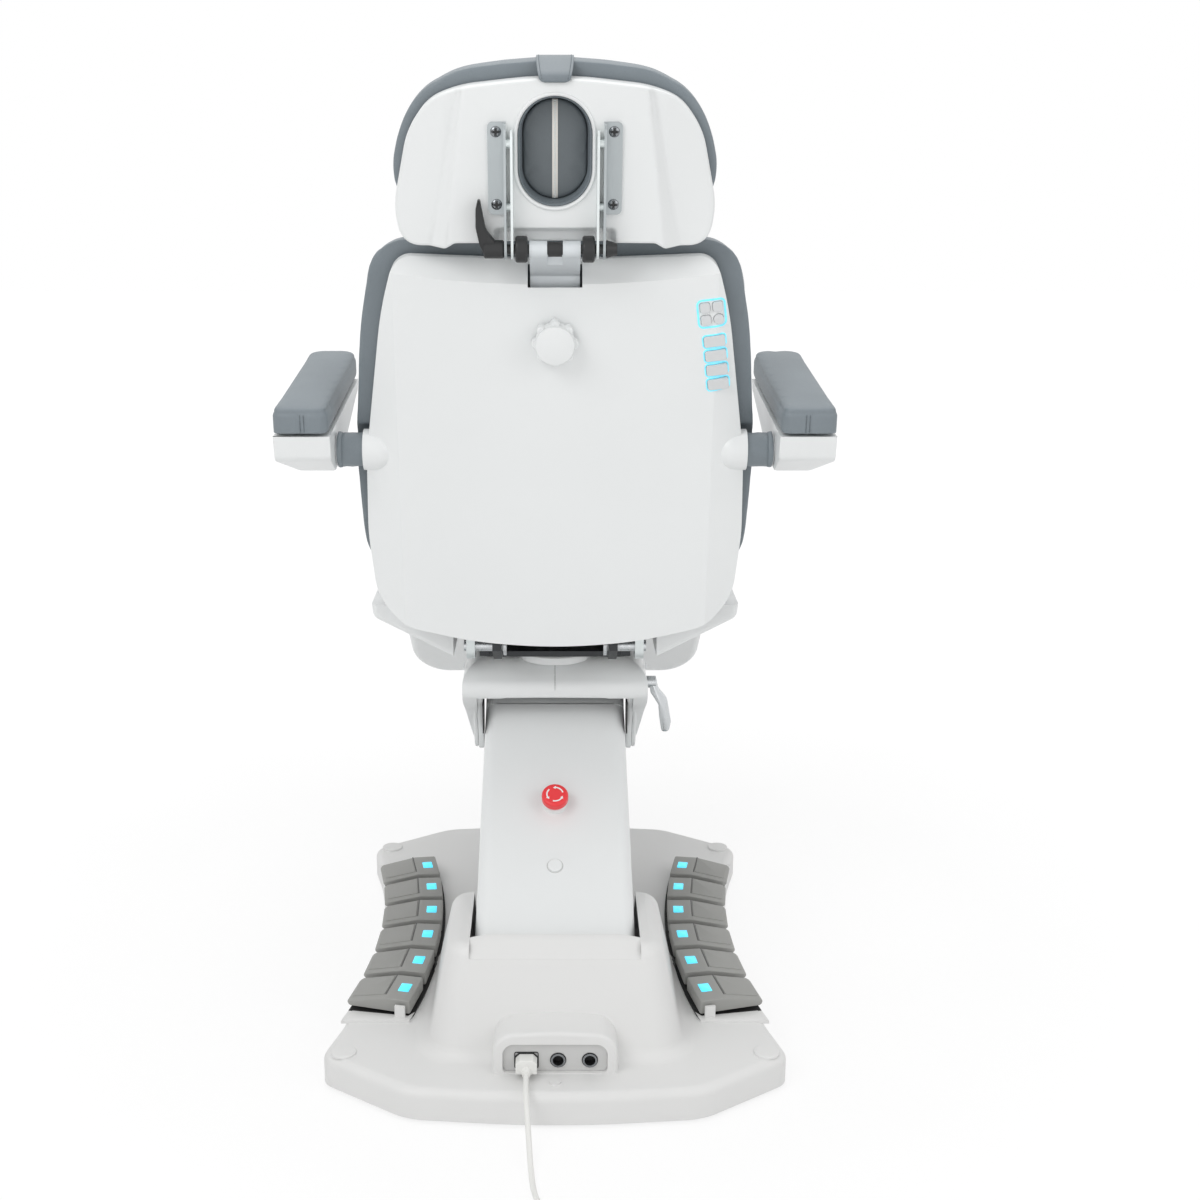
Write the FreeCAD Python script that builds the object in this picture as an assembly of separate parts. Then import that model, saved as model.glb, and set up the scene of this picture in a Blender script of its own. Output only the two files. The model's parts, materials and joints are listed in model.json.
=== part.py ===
import FreeCAD, Part
import math
import os

V = FreeCAD.Vector
UP = V(0, 0, 1)
ACROSS = V(1, 0, 0)
AHEAD = V(0, 1, 0)

# Driving dimensions in millimetres: x across, y ahead, z up, from the floor under the base's middle;
# the whole chair's middle lies MIDDLE_Y further ahead
MIDDLE_Y = 138.42
WALL = 4.5

BASE_HALF_LENGTH = 440
BASE_HALF_WIDTH = 303
PLATE_TOP = 45
PLATE_BOTTOM = 4
CAP_X = 273
CAP_Y = 333
FOOT_X = 250
FOOT_Y = 315
TOWER_TOP = 182
TOWER_LIP = 166
DECK_TOP = 96

PEDALS_PER_SIDE = 6
PEDAL_ARC = 1120
PEDAL_INNER_X = 169
PEDAL_LENGTH = 89
PEDAL_PITCH = 83.7
PEDAL_WIDTH = 79
PEDAL_PIN_U = 11
PEDAL_PIN_Z = 58

PANEL_Y = -380
PANEL_HALF_WIDTH = 66
PANEL_BOTTOM = 47
PANEL_TOP = 86
SOCKET_Z = 62
INLET_X = -36
JACK_X = (4, 44)
JACK_R = 6.9

ARM_LENGTH = 456
ARM_SLOPE = 35
ARM_MID_SLOPE = 42.5
ARM_FOOT = V(0, -252, 125)
LINK_OFFSET = V(0, 55, -28)
PIVOT_R = 10
LINK_PIN_R = 8
ARM_HALF_LOW = 106.5
ARM_HALF_HIGH = 101.5
ARM_TOP = 42
STOP_AT = 229
CRANK_REACH = 67.4

YOKE_HALF = 133
YOKE_TOP = 464
SWIVEL_Y = 141
BRAKE_Y = 95
BRAKE_Z = 412

TILT_PIN = V(0, 12, 513)
BACK_PIN = V(0, -15, 500)
LEG_PIN = V(0, 434, 520)
HINGE_R = 8
RAIL_IN = 112
RAIL_OUT = 124
SEAT_TOP = 560
SEAT_HALF = 257
CUSHION_TOP = 636

BACK_LEAN = 10
BACK_REAR = -65
BACK_RIM = -28
TUBE_Y = -38
TUBE_Z = 305
TUBE_R = 15
TUBE_END = 318
KNOB_Z = 459
KEY_TURN = 7
KEY_CENTRE = (196, 494)
KEY_SIZE = 12.5
KEY_PITCH = 16
WIDE_KEY = (27, 14)
WIDE_KEY_PITCH = 18.7

LEG_DROOP = -55
LEG_LENGTH = 330

ROD_Y = -100
ROD_Z = 582
ROD_R = 6
HEAD_REAR = -88
HEAD_RIM = -52
HOLE_Z = 695
HOLE_HALF = (44.5, 64.5)

ARMREST_TILT = 6
ARMREST_IN = 286
ARMREST_OUT = 362

CORD_R = 3.45
CORD_ROUTE = [
    (-36, -408, 57),
    (-36, -446, 57),
    (-32, -482, 22),
    (-29, -526, 3.6),
    (-24, -580, 3.6),
    (-8, -630, 3.6),
]
COIL_R = 38
COIL_SECTION = 10


def place(plane, u, v, w):
    """Point or direction from two in-plane values and the value across the plane."""
    if plane == "xy":
        return V(u, v, w)
    if plane == "xz":
        return V(u, w, v)
    return V(w, u, v)


def corner(before, here, after):
    """Start, middle and end of a rounded corner; the radius gives way where the sides are short."""
    point = V(here[0], here[1], 0)
    back = V(before[0], before[1], 0) - point
    ahead = V(after[0], after[1], 0) - point
    room = 0.499 * min(back.Length, ahead.Length)
    back.normalize()
    ahead.normalize()
    half = back.getAngle(ahead) / 2
    if here[2] <= 0 or abs(half - math.pi / 2) < 0.002:
        return point, None, point
    run = min(here[2] / math.tan(half), room)
    radius = run * math.tan(half)
    inward = (back + ahead).normalize()
    middle = point + inward * (radius / math.sin(half) - radius)
    return point + back * run, middle, point + ahead * run


def outline(points, plane, w):
    """Closed wire through (u, v, corner radius) points."""
    count = len(points)
    corners = [corner(points[i - 1], points[i], points[(i + 1) % count]) for i in range(count)]
    edges = []
    for i in range(count):
        start, middle, stop = corners[i]
        first = place(plane, start.x, start.y, w)
        last = place(plane, stop.x, stop.y, w)
        if middle:
            edges.append(Part.Arc(first, place(plane, middle.x, middle.y, w), last).toShape())
        following = corners[(i + 1) % count][0]
        target = place(plane, following.x, following.y, w)
        if last.distanceToPoint(target) > 1e-6:
            edges.append(Part.LineSegment(last, target).toShape())
    return Part.Wire(edges)


def prism(points, plane, low, high):
    return Part.Face(outline(points, plane, low)).extrude(place(plane, 0, 0, high - low))


def wire_prism(wire, direction):
    return Part.Face(wire).extrude(direction)


def symmetric(half):
    """Full outline from the points of its right half, listed from bottom to top."""
    return half + [(-u, v, r) for u, v, r in reversed(half) if u > 0]


def box(x0, x1, y0, y1, z0, z1):
    return Part.makeBox(x1 - x0, y1 - y0, z1 - z0, V(x0, y0, z0))


def bar(start, end, radius):
    span = end - start
    return Part.makeCylinder(radius, span.Length, start, span)


def cross_bar(x0, x1, y, z, radius):
    return bar(V(x0, y, z), V(x1, y, z), radius)


def mirrored(shape):
    return shape.mirror(V(0, 0, 0), ACROSS)


def both(shape):
    return [shape, mirrored(shape)]


def joined(shapes):
    return shapes[0].multiFuse(shapes[1:]).removeSplitter()


def less(shape, tools):
    return shape.cut(tools)


def eased(shape, radius, wanted):
    """Shape with the edges that a test picks by their bounding box rounded."""
    return shape.makeFillet(radius, [e for e in shape.Edges if wanted(e.BoundBox)])


def turned(shape, pin, degrees):
    """Shape built about the origin, turned about x and moved to its pin."""
    copy = shape.copy()
    copy.rotate(V(0, 0, 0), ACROSS, degrees)
    copy.translate(pin)
    return copy


def on_arm(shape):
    return turned(shape, ARM_FOOT, ARM_SLOPE)


def on_back(shape):
    return turned(shape, BACK_PIN, BACK_LEAN)


def on_leg(shape):
    return turned(shape, LEG_PIN, LEG_DROOP)


def along_arm(reach):
    angle = math.radians(ARM_SLOPE)
    return V(0, reach * math.cos(angle), reach * math.sin(angle))


ARM_HEAD = ARM_FOOT + along_arm(ARM_LENGTH)
LINK_FOOT = ARM_FOOT + LINK_OFFSET
LINK_HEAD = ARM_HEAD + LINK_OFFSET
LIFT_AXIS_Z = ARM_FOOT.z - CRANK_REACH
LIFT_PIN_Y = ARM_FOOT.y - CRANK_REACH * math.tan(math.radians(ARM_MID_SLOPE - ARM_SLOPE))


def plate_outline():
    half = [
        (0, -BASE_HALF_LENGTH, 1500),
        (185, -422, 80),
        (BASE_HALF_WIDTH, -337, 28),
        (280, -245, 500),
        (258, -80, 1000),
        (258, 80, 1000),
        (280, 245, 500),
        (BASE_HALF_WIDTH, 337, 28),
        (185, 422, 80),
        (0, BASE_HALF_LENGTH, 1500),
    ]
    return symmetric(half)


def rounded_rectangle(half, near, far, radius):
    return [(-half, near, radius), (half, near, radius), (half, far, radius), (-half, far, radius)]


def tower_loft(inset):
    low = outline(rounded_rectangle(168 - inset, -352 + inset, -30 - inset, 45 - inset), "xy", PLATE_TOP - 4)
    high = outline(
        rounded_rectangle(139 - inset, -306 + inset, -135 - inset, 28 - inset), "xy", TOWER_TOP - inset
    )
    return Part.makeLoft([low, high], True, True)


def plate_shell():
    solid = prism(plate_outline(), "xy", PLATE_BOTTOM, PLATE_TOP)
    solid = eased(solid, 12, lambda b: b.ZMin > PLATE_TOP - 0.1)
    inner = outline(plate_outline(), "xy", PLATE_BOTTOM).makeOffset2D(-WALL)
    return less(solid, [wire_prism(inner, V(0, 0, PLATE_TOP - PLATE_BOTTOM - WALL))])


def plate_and_tower():
    """Plate that runs up into the tower in one soft sweep."""
    tower = eased(tower_loft(0), 20, lambda b: b.ZMin > TOWER_TOP - 0.1)
    whole = joined([plate_shell(), tower])
    foot = lambda b: abs(b.ZMin - PLATE_TOP) < 0.1 and b.ZLength < 0.1 and -380 < b.YMin and b.YMax < -20
    return eased(whole, 20, lambda b: foot(b) and -180 < b.XMin and b.XMax < 180)


def surround_block(low, high):
    """Arched block that stands out of the tower's rear face round the socket panel."""
    half = PANEL_HALF_WIDTH + 13
    points = [(half, PLATE_TOP, 0), (half, PANEL_TOP + 12, 30), (0, PANEL_TOP + 17, 400)]
    return prism(symmetric(points), "xz", low, high)


def panel_prism(inset, low, high):
    half = PANEL_HALF_WIDTH - inset
    bottom = PANEL_BOTTOM + inset
    top = PANEL_TOP - inset
    points = [(half, bottom, 5), (half, top, 14), (-half, top, 14), (-half, bottom, 5)]
    return prism(points, "xz", low, high)


def socket_surround():
    solid = surround_block(PANEL_Y - 5, -331)
    solid = eased(solid, 5, lambda b: b.YMax < PANEL_Y - 4.9 and b.ZMax > PLATE_TOP + 0.1)
    return less(solid, [panel_prism(0, PANEL_Y - 20, PANEL_Y + 3), panel_prism(4, PANEL_Y, -320)])


def deck():
    """Low central hood over the lift motor."""
    outer = prism(rounded_rectangle(98, -45, 190, 30), "xy", PLATE_TOP - 2, DECK_TOP)
    return eased(outer, 14, lambda b: b.ZMin > DECK_TOP - 0.1)


def pedal_pin(radius, past):
    x = PEDAL_INNER_X + PEDAL_PIN_U
    half = PEDAL_WIDTH / 2 + past
    return bar(V(x, -half, PEDAL_PIN_Z), V(x, half, PEDAL_PIN_Z), radius)


def pedal_tray():
    """Thin raised tray under one bank of pedals, with the posts that carry the pedal pins."""
    centre = V(PEDAL_INNER_X + PEDAL_ARC, 0, PLATE_TOP - 1)
    outer = Part.makeCylinder(PEDAL_ARC + 4, 4, centre)
    inner = Part.makeCylinder(PEDAL_ARC - PEDAL_LENGTH + 4, 10, centre - V(0, 0, 2))
    tray = outer.cut(inner).common(box(100, 320, -256, 256, 0, 100))
    shapes = [tray]
    step = PEDAL_PITCH / PEDAL_ARC
    for k in range(PEDALS_PER_SIDE + 1):
        post = box(PEDAL_INNER_X + 4, PEDAL_INNER_X + 18, -1.8, 1.8, PLATE_TOP - 1, PEDAL_PIN_Z + 7)
        post.rotate(centre, UP, math.degrees((k - PEDALS_PER_SIDE / 2) * step))
        shapes.append(post)
    pins = []
    for k in range(PEDALS_PER_SIDE):
        pin = pedal_pin(3.05, 1.7)
        pin.rotate(centre, UP, math.degrees((k - (PEDALS_PER_SIDE - 1) / 2) * step))
        pins.append(pin)
    return less(joined(shapes), pins)


def base_cover():
    shell = joined([plate_and_tower(), deck()])
    tools = [
        tower_loft(WALL),
        prism(rounded_rectangle(163, -347, -40, 40), "xy", PLATE_BOTTOM, PLATE_TOP - 3),
        prism(rounded_rectangle(98 - WALL, -90, 190 - WALL, 26), "xy", PLATE_BOTTOM, DECK_TOP - WALL),
        box(-111, 111, -290, -45, PLATE_TOP, 220),
        box(-111, 111, -420, -280, TOWER_LIP, 220),
        surround_block(PANEL_Y - 30, -320),
    ]
    shell = less(shell, tools)
    caps = []
    for x in (-CAP_X, CAP_X):
        for y in (-CAP_Y, CAP_Y):
            cap = Part.makeCylinder(16.5, 3.5, V(x, y, PLATE_TOP - 0.5))
            caps.append(eased(cap, 1.5, lambda b: b.ZMin > PLATE_TOP + 2))
    caps.append(Part.makeCylinder(7.5, 2.5, V(0, -405, PLATE_TOP - 0.5)))
    return joined([shell] + caps + both(pedal_tray()))


def levelling_feet():
    feet = []
    for x in (-FOOT_X, FOOT_X):
        for y in (-FOOT_Y, FOOT_Y):
            pad = Part.makeCone(21, 17, 7, V(x, y, 0))
            stem = Part.makeCylinder(6, 15, V(x, y, 7))
            feet.append(joined([pad, stem]))
    return feet


def chassis_frame():
    floor_plate = prism(rounded_rectangle(150, -335, 330, 20), "xy", 9, 15)
    shapes = [floor_plate]
    for y in (-FOOT_Y, FOOT_Y):
        shapes.append(box(-275, 275, y - 18, y + 18, 9, 15))
    cheek = [(-305, 15, 0), (-280, 151, 24), (-225, 151, 24), (-165, 116, 24), (-165, 70, 10), (-150, 15, 0)]
    shapes += both(prism(cheek, "yz", 74, 86))
    shapes.append(cross_bar(-74, 74, LINK_FOOT.y, LINK_FOOT.z, LINK_PIN_R))
    holes = [Part.makeCylinder(6, 20, V(x, y, 0)) for x in (-FOOT_X, FOOT_X) for y in (-FOOT_Y, FOOT_Y)]
    holes.append(cross_bar(-100, 100, ARM_FOOT.y, ARM_FOOT.z, PIVOT_R + 0.05))
    return less(joined(shapes), holes)


def control_box():
    solid = box(-146, -78, -30, 120, 15, 39)
    return eased(solid, 3, lambda b: b.ZLength > 20)


def socket_panel():
    """Bare panel plate with a power inlet and two round jacks, each let into its own hole."""
    plate = panel_prism(0.4, PANEL_Y, PANEL_Y + 3)
    inlet_hole = inlet_outline(14.4, 10.4)
    holes = [prism(inlet_hole, "xz", PANEL_Y - 1, PANEL_Y + 5)]
    pieces = []
    for x in JACK_X:
        holes.append(bar(V(x, PANEL_Y - 5, SOCKET_Z), V(x, PANEL_Y + 10, SOCKET_Z), 9.2))
        ring = bar(V(x, PANEL_Y - 2, SOCKET_Z), V(x, PANEL_Y + 14, SOCKET_Z), 9.2)
        pieces.append(ring.cut(bar(V(x, PANEL_Y - 3, SOCKET_Z), V(x, PANEL_Y + 9, SOCKET_Z), JACK_R)))
    body = prism(inlet_hole, "xz", PANEL_Y - 2, PANEL_Y + 26)
    pocket = prism(inlet_outline(12.2, 8.2), "xz", PANEL_Y - 3, PANEL_Y + 16)
    return [plate.cut(holes), body.cut(pocket)] + pieces


def inlet_outline(half_width, half_height):
    low = SOCKET_Z - half_height
    high = SOCKET_Z + half_height
    return [
        (INLET_X - half_width, low, 2), (INLET_X + half_width, low, 2),
        (INLET_X + half_width, high - 5, 1), (INLET_X + half_width - 5, high, 1),
        (INLET_X - half_width + 5, high, 1), (INLET_X - half_width, high - 5, 1),
    ]


def lift_motor():
    z = LIFT_AXIS_Z
    barrel = bar(V(0, -165, z), V(0, 70, z), 20)
    gearbox = eased(box(-32, 68, 62, 122, z - 26, z + 26), 5, lambda b: b.YLength > 50)
    can = bar(V(48, -32, z), V(48, 62, z), 19)
    saddle = box(-25, 60, 68, 116, 15, z - 24)
    body = joined([barrel, gearbox, can, saddle])
    return less(body, [bar(V(0, -170, z), V(0, 60, z), PIVOT_R + 0.06)])


def lift_rod():
    z = LIFT_AXIS_Z
    rod = bar(V(0, LIFT_PIN_Y, z), V(0, -45, z), PIVOT_R)
    eye = cross_bar(-27, 27, LIFT_PIN_Y, z, 13)
    pin = cross_bar(-43, 43, LIFT_PIN_Y, z, 6)
    return joined([rod, eye, pin])


def mains_connector():
    body = prism(inlet_outline(11.6, 7.6), "xz", PANEL_Y - 1, PANEL_Y + 12)
    grip = prism(inlet_outline(13.5, 9.5), "xz", PANEL_Y - 20, PANEL_Y - 2.4)
    grip = eased(grip, 2, lambda b: b.YMax < PANEL_Y - 19)
    neck = bar(V(INLET_X, PANEL_Y - 3, SOCKET_Z), V(INLET_X, PANEL_Y, SOCKET_Z), 6)
    exit_point = V(*CORD_ROUTE[0])
    sleeve = Part.makeCone(7, 5, 10, exit_point + V(0, 10, 0), V(0, -1, 0))
    return joined([body, grip, neck, sleeve])


def cord_tube(route, radius):
    """Tube along straight runs joined by tangent arcs."""
    points = [V(*p) for p in route]
    edges = []
    here = points[0]
    for i in range(1, len(points) - 1):
        back = points[i - 1] - points[i]
        ahead = points[i + 1] - points[i]
        run = 0.45 * min(back.Length, ahead.Length)
        back.normalize()
        ahead.normalize()
        half = back.getAngle(ahead) / 2
        bend = run * math.tan(half)
        middle = points[i] + (back + ahead).normalize() * (bend / math.sin(half) - bend)
        start = points[i] + back * run
        stop = points[i] + ahead * run
        edges.append(Part.LineSegment(here, start).toShape())
        edges.append(Part.Arc(start, middle, stop).toShape())
        here = stop
    edges.append(Part.LineSegment(here, points[-1]).toShape())
    path = Part.Wire(edges)
    section = Part.Wire(Part.makeCircle(radius, points[0], points[1] - points[0]))
    return path.makePipeShell([section], True, True)


def coil_centre():
    end = V(*CORD_ROUTE[-1])
    return V(end.x + COIL_R + 2, end.y - 32.6, COIL_SECTION)


def mains_cord_coil():
    return Part.makeTorus(COIL_R, COIL_SECTION, coil_centre())


def mains_wall_plug():
    centre = coil_centre() + V(COIL_R + 24, -COIL_R - 7, 4)
    body = prism([(-19, -18, 9), (19, -24, 8), (19, 24, 8), (-19, 18, 9)], "xy", -13.5, 13.5)
    body = eased(body, 5, lambda b: b.ZLength < 0.1)
    body.translate(centre)
    pins = [bar(centre + V(15, y, 0), centre + V(38, y, 0), 2.4) for y in (-9.5, 9.5)]
    return joined([body] + pins)


def pedal_body():
    """One right-hand pedal on the x axis: flat inner part, sloping tread, window and pin stubs."""
    x = PEDAL_INNER_X
    side = [
        (x, 50.5, 1), (x, 69.5, 4), (x + 34, 70.5, 8), (x + PEDAL_LENGTH, 61, 4), (x + PEDAL_LENGTH, 54, 2)
    ]
    half = PEDAL_WIDTH / 2
    solid = prism(side, "xz", -half, half)
    taper = half * (PEDAL_ARC - PEDAL_LENGTH) / PEDAL_ARC
    plan = [(x - 1, -half, 0), (x + PEDAL_LENGTH, -taper, 7), (x + PEDAL_LENGTH, taper, 7), (x - 1, half, 0)]
    solid = solid.common(prism(plan, "xy", 40, 80))
    window = box(x + 10, x + 22, -6, 6, 69, 75)
    hollow = box(x + 24, x + PEDAL_LENGTH - 8, -half + 7, half - 7, 45, 57)
    return joined([less(solid, [window, hollow]), pedal_pin(3, 1.4)])


def pedal(side, index):
    shape = pedal_body()
    step = math.degrees(PEDAL_PITCH / PEDAL_ARC)
    centre = V(PEDAL_INNER_X + PEDAL_ARC, 0, 0)
    turn = (index - (PEDALS_PER_SIDE - 1) / 2) * step
    shape.rotate(centre, UP, -turn)
    return mirrored(shape) if side == "left" else shape


def arm_plan(inset, low, high):
    a = ARM_HALF_LOW - inset
    b = ARM_HALF_HIGH - inset
    return [(-a, low, 0), (a, low, 0), (b, high, 0), (-b, high, 0)]


def arm_cover():
    solid = prism(arm_plan(0, -12, 405), "xy", -52, ARM_TOP)
    solid = eased(solid, 16, lambda b: b.ZMin > ARM_TOP - 0.1 and b.YLength > 100)
    hollow = prism(arm_plan(WALL, -20, 410), "xy", -60, ARM_TOP - WALL)
    hollow = eased(hollow, 12, lambda b: b.ZMin > ARM_TOP - WALL - 0.1 and b.YLength > 100)
    heel = prism([(-30, -70, 0), (60, -70, 0), (-30, 12, 0)], "yz", -150, 150)
    boss = Part.makeCylinder(16.5, 9, V(0, STOP_AT, ARM_TOP - 1))
    boss = eased(boss, 2, lambda b: b.ZMin > ARM_TOP + 7)
    cap = Part.makeCylinder(10, 4, V(0, 129, ARM_TOP - 1))
    cap = eased(cap, 1.5, lambda b: b.ZMin > ARM_TOP + 2)
    stop_hole = Part.makeCylinder(6.4, 40, V(0, STOP_AT, ARM_TOP - 20))
    shape = joined([solid.cut([hollow, heel]), boss, cap])
    return on_arm(less(shape, [stop_hole]))


def crank_plate():
    plate = prism([(-20, 0, 0), (-15, -88, 14), (15, -88, 14), (20, 0, 0)], "yz", 30, 38)
    slot = prism([(-7, -57, 6.9), (-7, -83, 6.9), (7, -83, 6.9), (7, -57, 6.9)], "yz", 20, 50)
    shape = plate.cut(slot)
    shape.rotate(V(0, 0, 0), ACROSS, -ARM_MID_SLOPE)
    return shape


def arm_beam():
    tube = box(-46, 46, 0, ARM_LENGTH, -20, 20).cut(box(-42, 42, 30, ARM_LENGTH - 30, -16, 16))
    bosses = [cross_bar(-70, 70, y, 0, 26) for y in (0, ARM_LENGTH)]
    struts = [box(-half, half, y - 10, y + 10, -8, 8) for y, half in ((120, 100.1), (330, 97.7))]
    shape = joined([tube] + bosses + struts + both(crank_plate()))
    bores = [cross_bar(-80, 80, y, 0, PIVOT_R) for y in (0, ARM_LENGTH)]
    return on_arm(less(shape, bores))


def arm_pivot_pins():
    pins = []
    for at in (ARM_FOOT, ARM_HEAD):
        pin = cross_bar(-91, 91, at.y, at.z, PIVOT_R)
        heads = [cross_bar(86.5, 91, at.y, at.z, 15), cross_bar(-91, -86.5, at.y, at.z, 15)]
        pins.append(joined([pin] + heads))
    return pins


def levelling_link():
    far = ARM_LENGTH + 15
    side = [(-15, -15, 14.9), (far, -15, 14.9), (far, 15, 14.9), (-15, 15, 14.9)]
    blade = prism(side, "yz", -13, 13)
    waist = box(-20, 20, 40, ARM_LENGTH - 40, 9, 30)
    bores = [cross_bar(-20, 20, y, 0, LINK_PIN_R + 0.05) for y in (0, ARM_LENGTH)]
    return turned(less(blade, [waist] + bores), LINK_FOOT, ARM_SLOPE)


def e_stop_head():
    head = Part.makeCylinder(18.5, 11, V(0, STOP_AT, ARM_TOP + 13.5))
    head = eased(head, 4, lambda b: b.ZMin > ARM_TOP + 24)
    stem = Part.makeCylinder(6, 24, V(0, STOP_AT, ARM_TOP - 10))
    return on_arm(joined([head, stem]))


def yoke_frame():
    cheek = prism([(84, 446, 0), (88, 356, 26), (160, 328, 26), (214, 345, 26), (214, 446, 0)], "yz", 74, 86)
    top = prism(rounded_rectangle(104, 44, 248, 12), "xy", 438, 450)
    hub = Part.makeCylinder(34, 24, V(0, SWIVEL_Y, 444))
    pin = cross_bar(-74, 74, LINK_HEAD.y, LINK_HEAD.z, LINK_PIN_R)
    shape = joined([top, hub, pin] + both(cheek))
    bores = [
        Part.makeCylinder(20.06, 100, V(0, SWIVEL_Y, 420)),
        cross_bar(-100, 100, ARM_HEAD.y, ARM_HEAD.z, PIVOT_R + 0.05),
    ]
    return less(shape, bores)


def yoke_covers():
    """Two half shells that meet at a seam over the arm head, with rounded cheeks either side."""
    side = [
        (-4, 426, 20), (28, YOKE_TOP, 45), (236, YOKE_TOP, 35), (262, 436, 25), (262, 345, 35),
        (168, 325, 50), (76, 325, 50), (38, 388, 40),
    ]
    section = symmetric([(117, 318, 6), (YOKE_HALF, 402, 60), (YOKE_HALF, YOKE_TOP, 34)])
    solid = prism(side, "yz", -YOKE_HALF, YOKE_HALF).common(prism(section, "xz", -50, 300))
    arch = bar(V(0, -30, 146), V(0, 60, 146), 278).common(box(-113, 113, -30, 60, 300, 440))
    tools = [
        arch,
        box(-113, 113, 10, 255, 300, 428),
        box(-108, 108, 26, 255, 420, YOKE_TOP - 8),
        Part.makeCylinder(37, 40, V(0, SWIVEL_Y, 440)),
        box(-0.3, 0.3, -50, 300, 300, 500),
        cross_bar(110, 140, BRAKE_Y, BRAKE_Z, 5.08),
    ]
    return less(solid, tools).Solids


def swivel_brake_lever():
    stud = cross_bar(116, 137, BRAKE_Y, BRAKE_Z, 5)
    hub = cross_bar(133.5, 150, BRAKE_Y, BRAKE_Z, 9)
    side = [
        (139, 418, 3), (150, 418, 3), (153, 398, 10), (168, 366, 10), (174, 346, 5), (165, 341, 5),
        (156, 364, 12), (142, 398, 10),
    ]
    paddle = prism(side, "xz", BRAKE_Y - 8, BRAKE_Y + 8)
    return joined([stud, hub, paddle])


def turntable():
    disc = Part.makeCylinder(68, 10, V(0, SWIVEL_Y, 468.6))
    spindle = Part.makeCylinder(20, 30, V(0, SWIVEL_Y, 440))
    plate = prism(rounded_rectangle(108, 7, 245, 15), "xy", 477, 485)
    lug = [(0, 480, 0), (TILT_PIN.y - 12, 529, 11), (TILT_PIN.y + 16, 529, 15), (50, 480, 0)]
    rest = box(-60, 60, 215, 238, 484, 492)
    shape = joined([disc, spindle, plate, rest] + both(prism(lug, "yz", 94, 107)))
    return less(shape, [cross_bar(-120, 120, TILT_PIN.y, TILT_PIN.z, HINGE_R + 0.05)])


def seat_rail():
    side = [
        (-33, 482, 16), (5, 482, 12), (30, 497, 12), (400, 497, 12), (420, 502, 12), (452, 502, 17),
        (452, 538, 17), (430, 552, 6), (-6, 552, 16), (-33, 518, 16),
    ]
    return prism(side, "yz", RAIL_IN, RAIL_OUT)


def seat_frame():
    ties = [box(-RAIL_IN - 2, RAIL_IN + 2, y, y + 20, 532, 552) for y in (100, 250, 390)]
    stop = box(-RAIL_IN - 2, RAIL_IN + 2, 217, 236, 492.4, 506)
    pin = cross_bar(-RAIL_IN - 2, RAIL_IN + 2, TILT_PIN.y, TILT_PIN.z, HINGE_R)
    frame = joined(both(seat_rail()) + ties + [stop, pin])
    bores = [
        cross_bar(-140, 140, BACK_PIN.y, BACK_PIN.z, HINGE_R),
        cross_bar(-140, 140, LEG_PIN.y, LEG_PIN.z, HINGE_R + 0.05),
    ]
    return less(frame, bores)


def seat_motor(x, low, high):
    can = bar(V(x, low, 512), V(x, high, 512), 20)
    return eased(can, 4, lambda b: b.YLength < 0.1)


def seat_shell():
    half = [(143, 483, 15), (SEAT_HALF - 2, 541, 14), (SEAT_HALF, SEAT_TOP, 0)]
    solid = prism(symmetric(half), "xz", -18, 428)
    solid = eased(solid, 8, lambda b: b.YMax < -17.9 and b.ZMin < SEAT_TOP - 0.1)
    return less(solid, [box(-143, 143, -40, 440, 470, 552)])


def cushion(points, plane, low, high, soft_low, soft_high):
    """Closed pad with rounded rims."""
    solid = prism(points, plane, low, high)
    across = {"xy": ("ZMin", "ZMax"), "xz": ("YMin", "YMax"), "yz": ("XMin", "XMax")}[plane]
    solid = eased(solid, soft_high, lambda b: getattr(b, across[0]) > high - 0.1)
    return eased(solid, soft_low, lambda b: getattr(b, across[1]) < low + 0.1)


def seat_cushion():
    plan = symmetric([(255, 46, 45), (274, 240, 400), (268, 430, 55)])
    return cushion(plan, "xy", SEAT_TOP, CUSHION_TOP, 6, 24)


def legrest_plan(half, near, far):
    return symmetric([(half - 8, near, 20), (half, near + 190, 300), (half - 10, far, 95)])


def legrest_frame():
    shell = prism(legrest_plan(262, 12, LEG_LENGTH - 4), "xy", 12, 46)
    shell = eased(shell, 14, lambda b: b.ZMax < 12.1)
    hollow = prism(legrest_plan(257, 17, LEG_LENGTH - 9), "xy", 17, 47)
    notch = box(-130, 130, 0, 40, 0, 30)
    side = [(-16, -14, 14), (14, -16, 14), (90, 18, 4), (90, 30, 4), (30, 30, 20), (-14, 16, 14)]
    arm = prism(side, "yz", 98, 110)
    stub = cross_bar(104, 123, 0, 0, HINGE_R)
    spine = box(98, 110, 40, 250, 12, 40)
    shape = joined([less(shell, [hollow, notch])] + both(arm) + both(stub) + both(spine))
    return on_leg(shape)


def legrest_cushion():
    return on_leg(cushion(legrest_plan(272, 14, LEG_LENGTH + 6), "xy", 46, 116, 6, 24))


def back_outline():
    half = [
        (0, 28, 900),
        (110, 37, 500),
        (203, 60, 70),
        (240, 98, 80),
        (249, 190, 300),
        (246, 300, 500),
        (219, 495, 500),
        (200, 562, 26),
        (0, 554, 3000),
    ]
    return symmetric(half)


def back_section(inset):
    rear = BACK_REAR + inset
    half = [(203 - 0.2 * inset, rear, 0), (252 - inset, -46, 0), (262 - inset, BACK_RIM, 0)]
    return symmetric(half)


def back_bevel(drop):
    """Cone that leaves the shell's top edge leaning forward along a shallow dip."""
    return Part.makeCone(1502, 1470, 32, V(0, BACK_REAR - 2, 2030 - drop), AHEAD)


def key_frame(shape, x, z):
    copy = shape.copy()
    copy.rotate(V(0, 0, 0), V(0, -1, 0), KEY_TURN)
    copy.translate(V(x, 0, z))
    return copy


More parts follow.
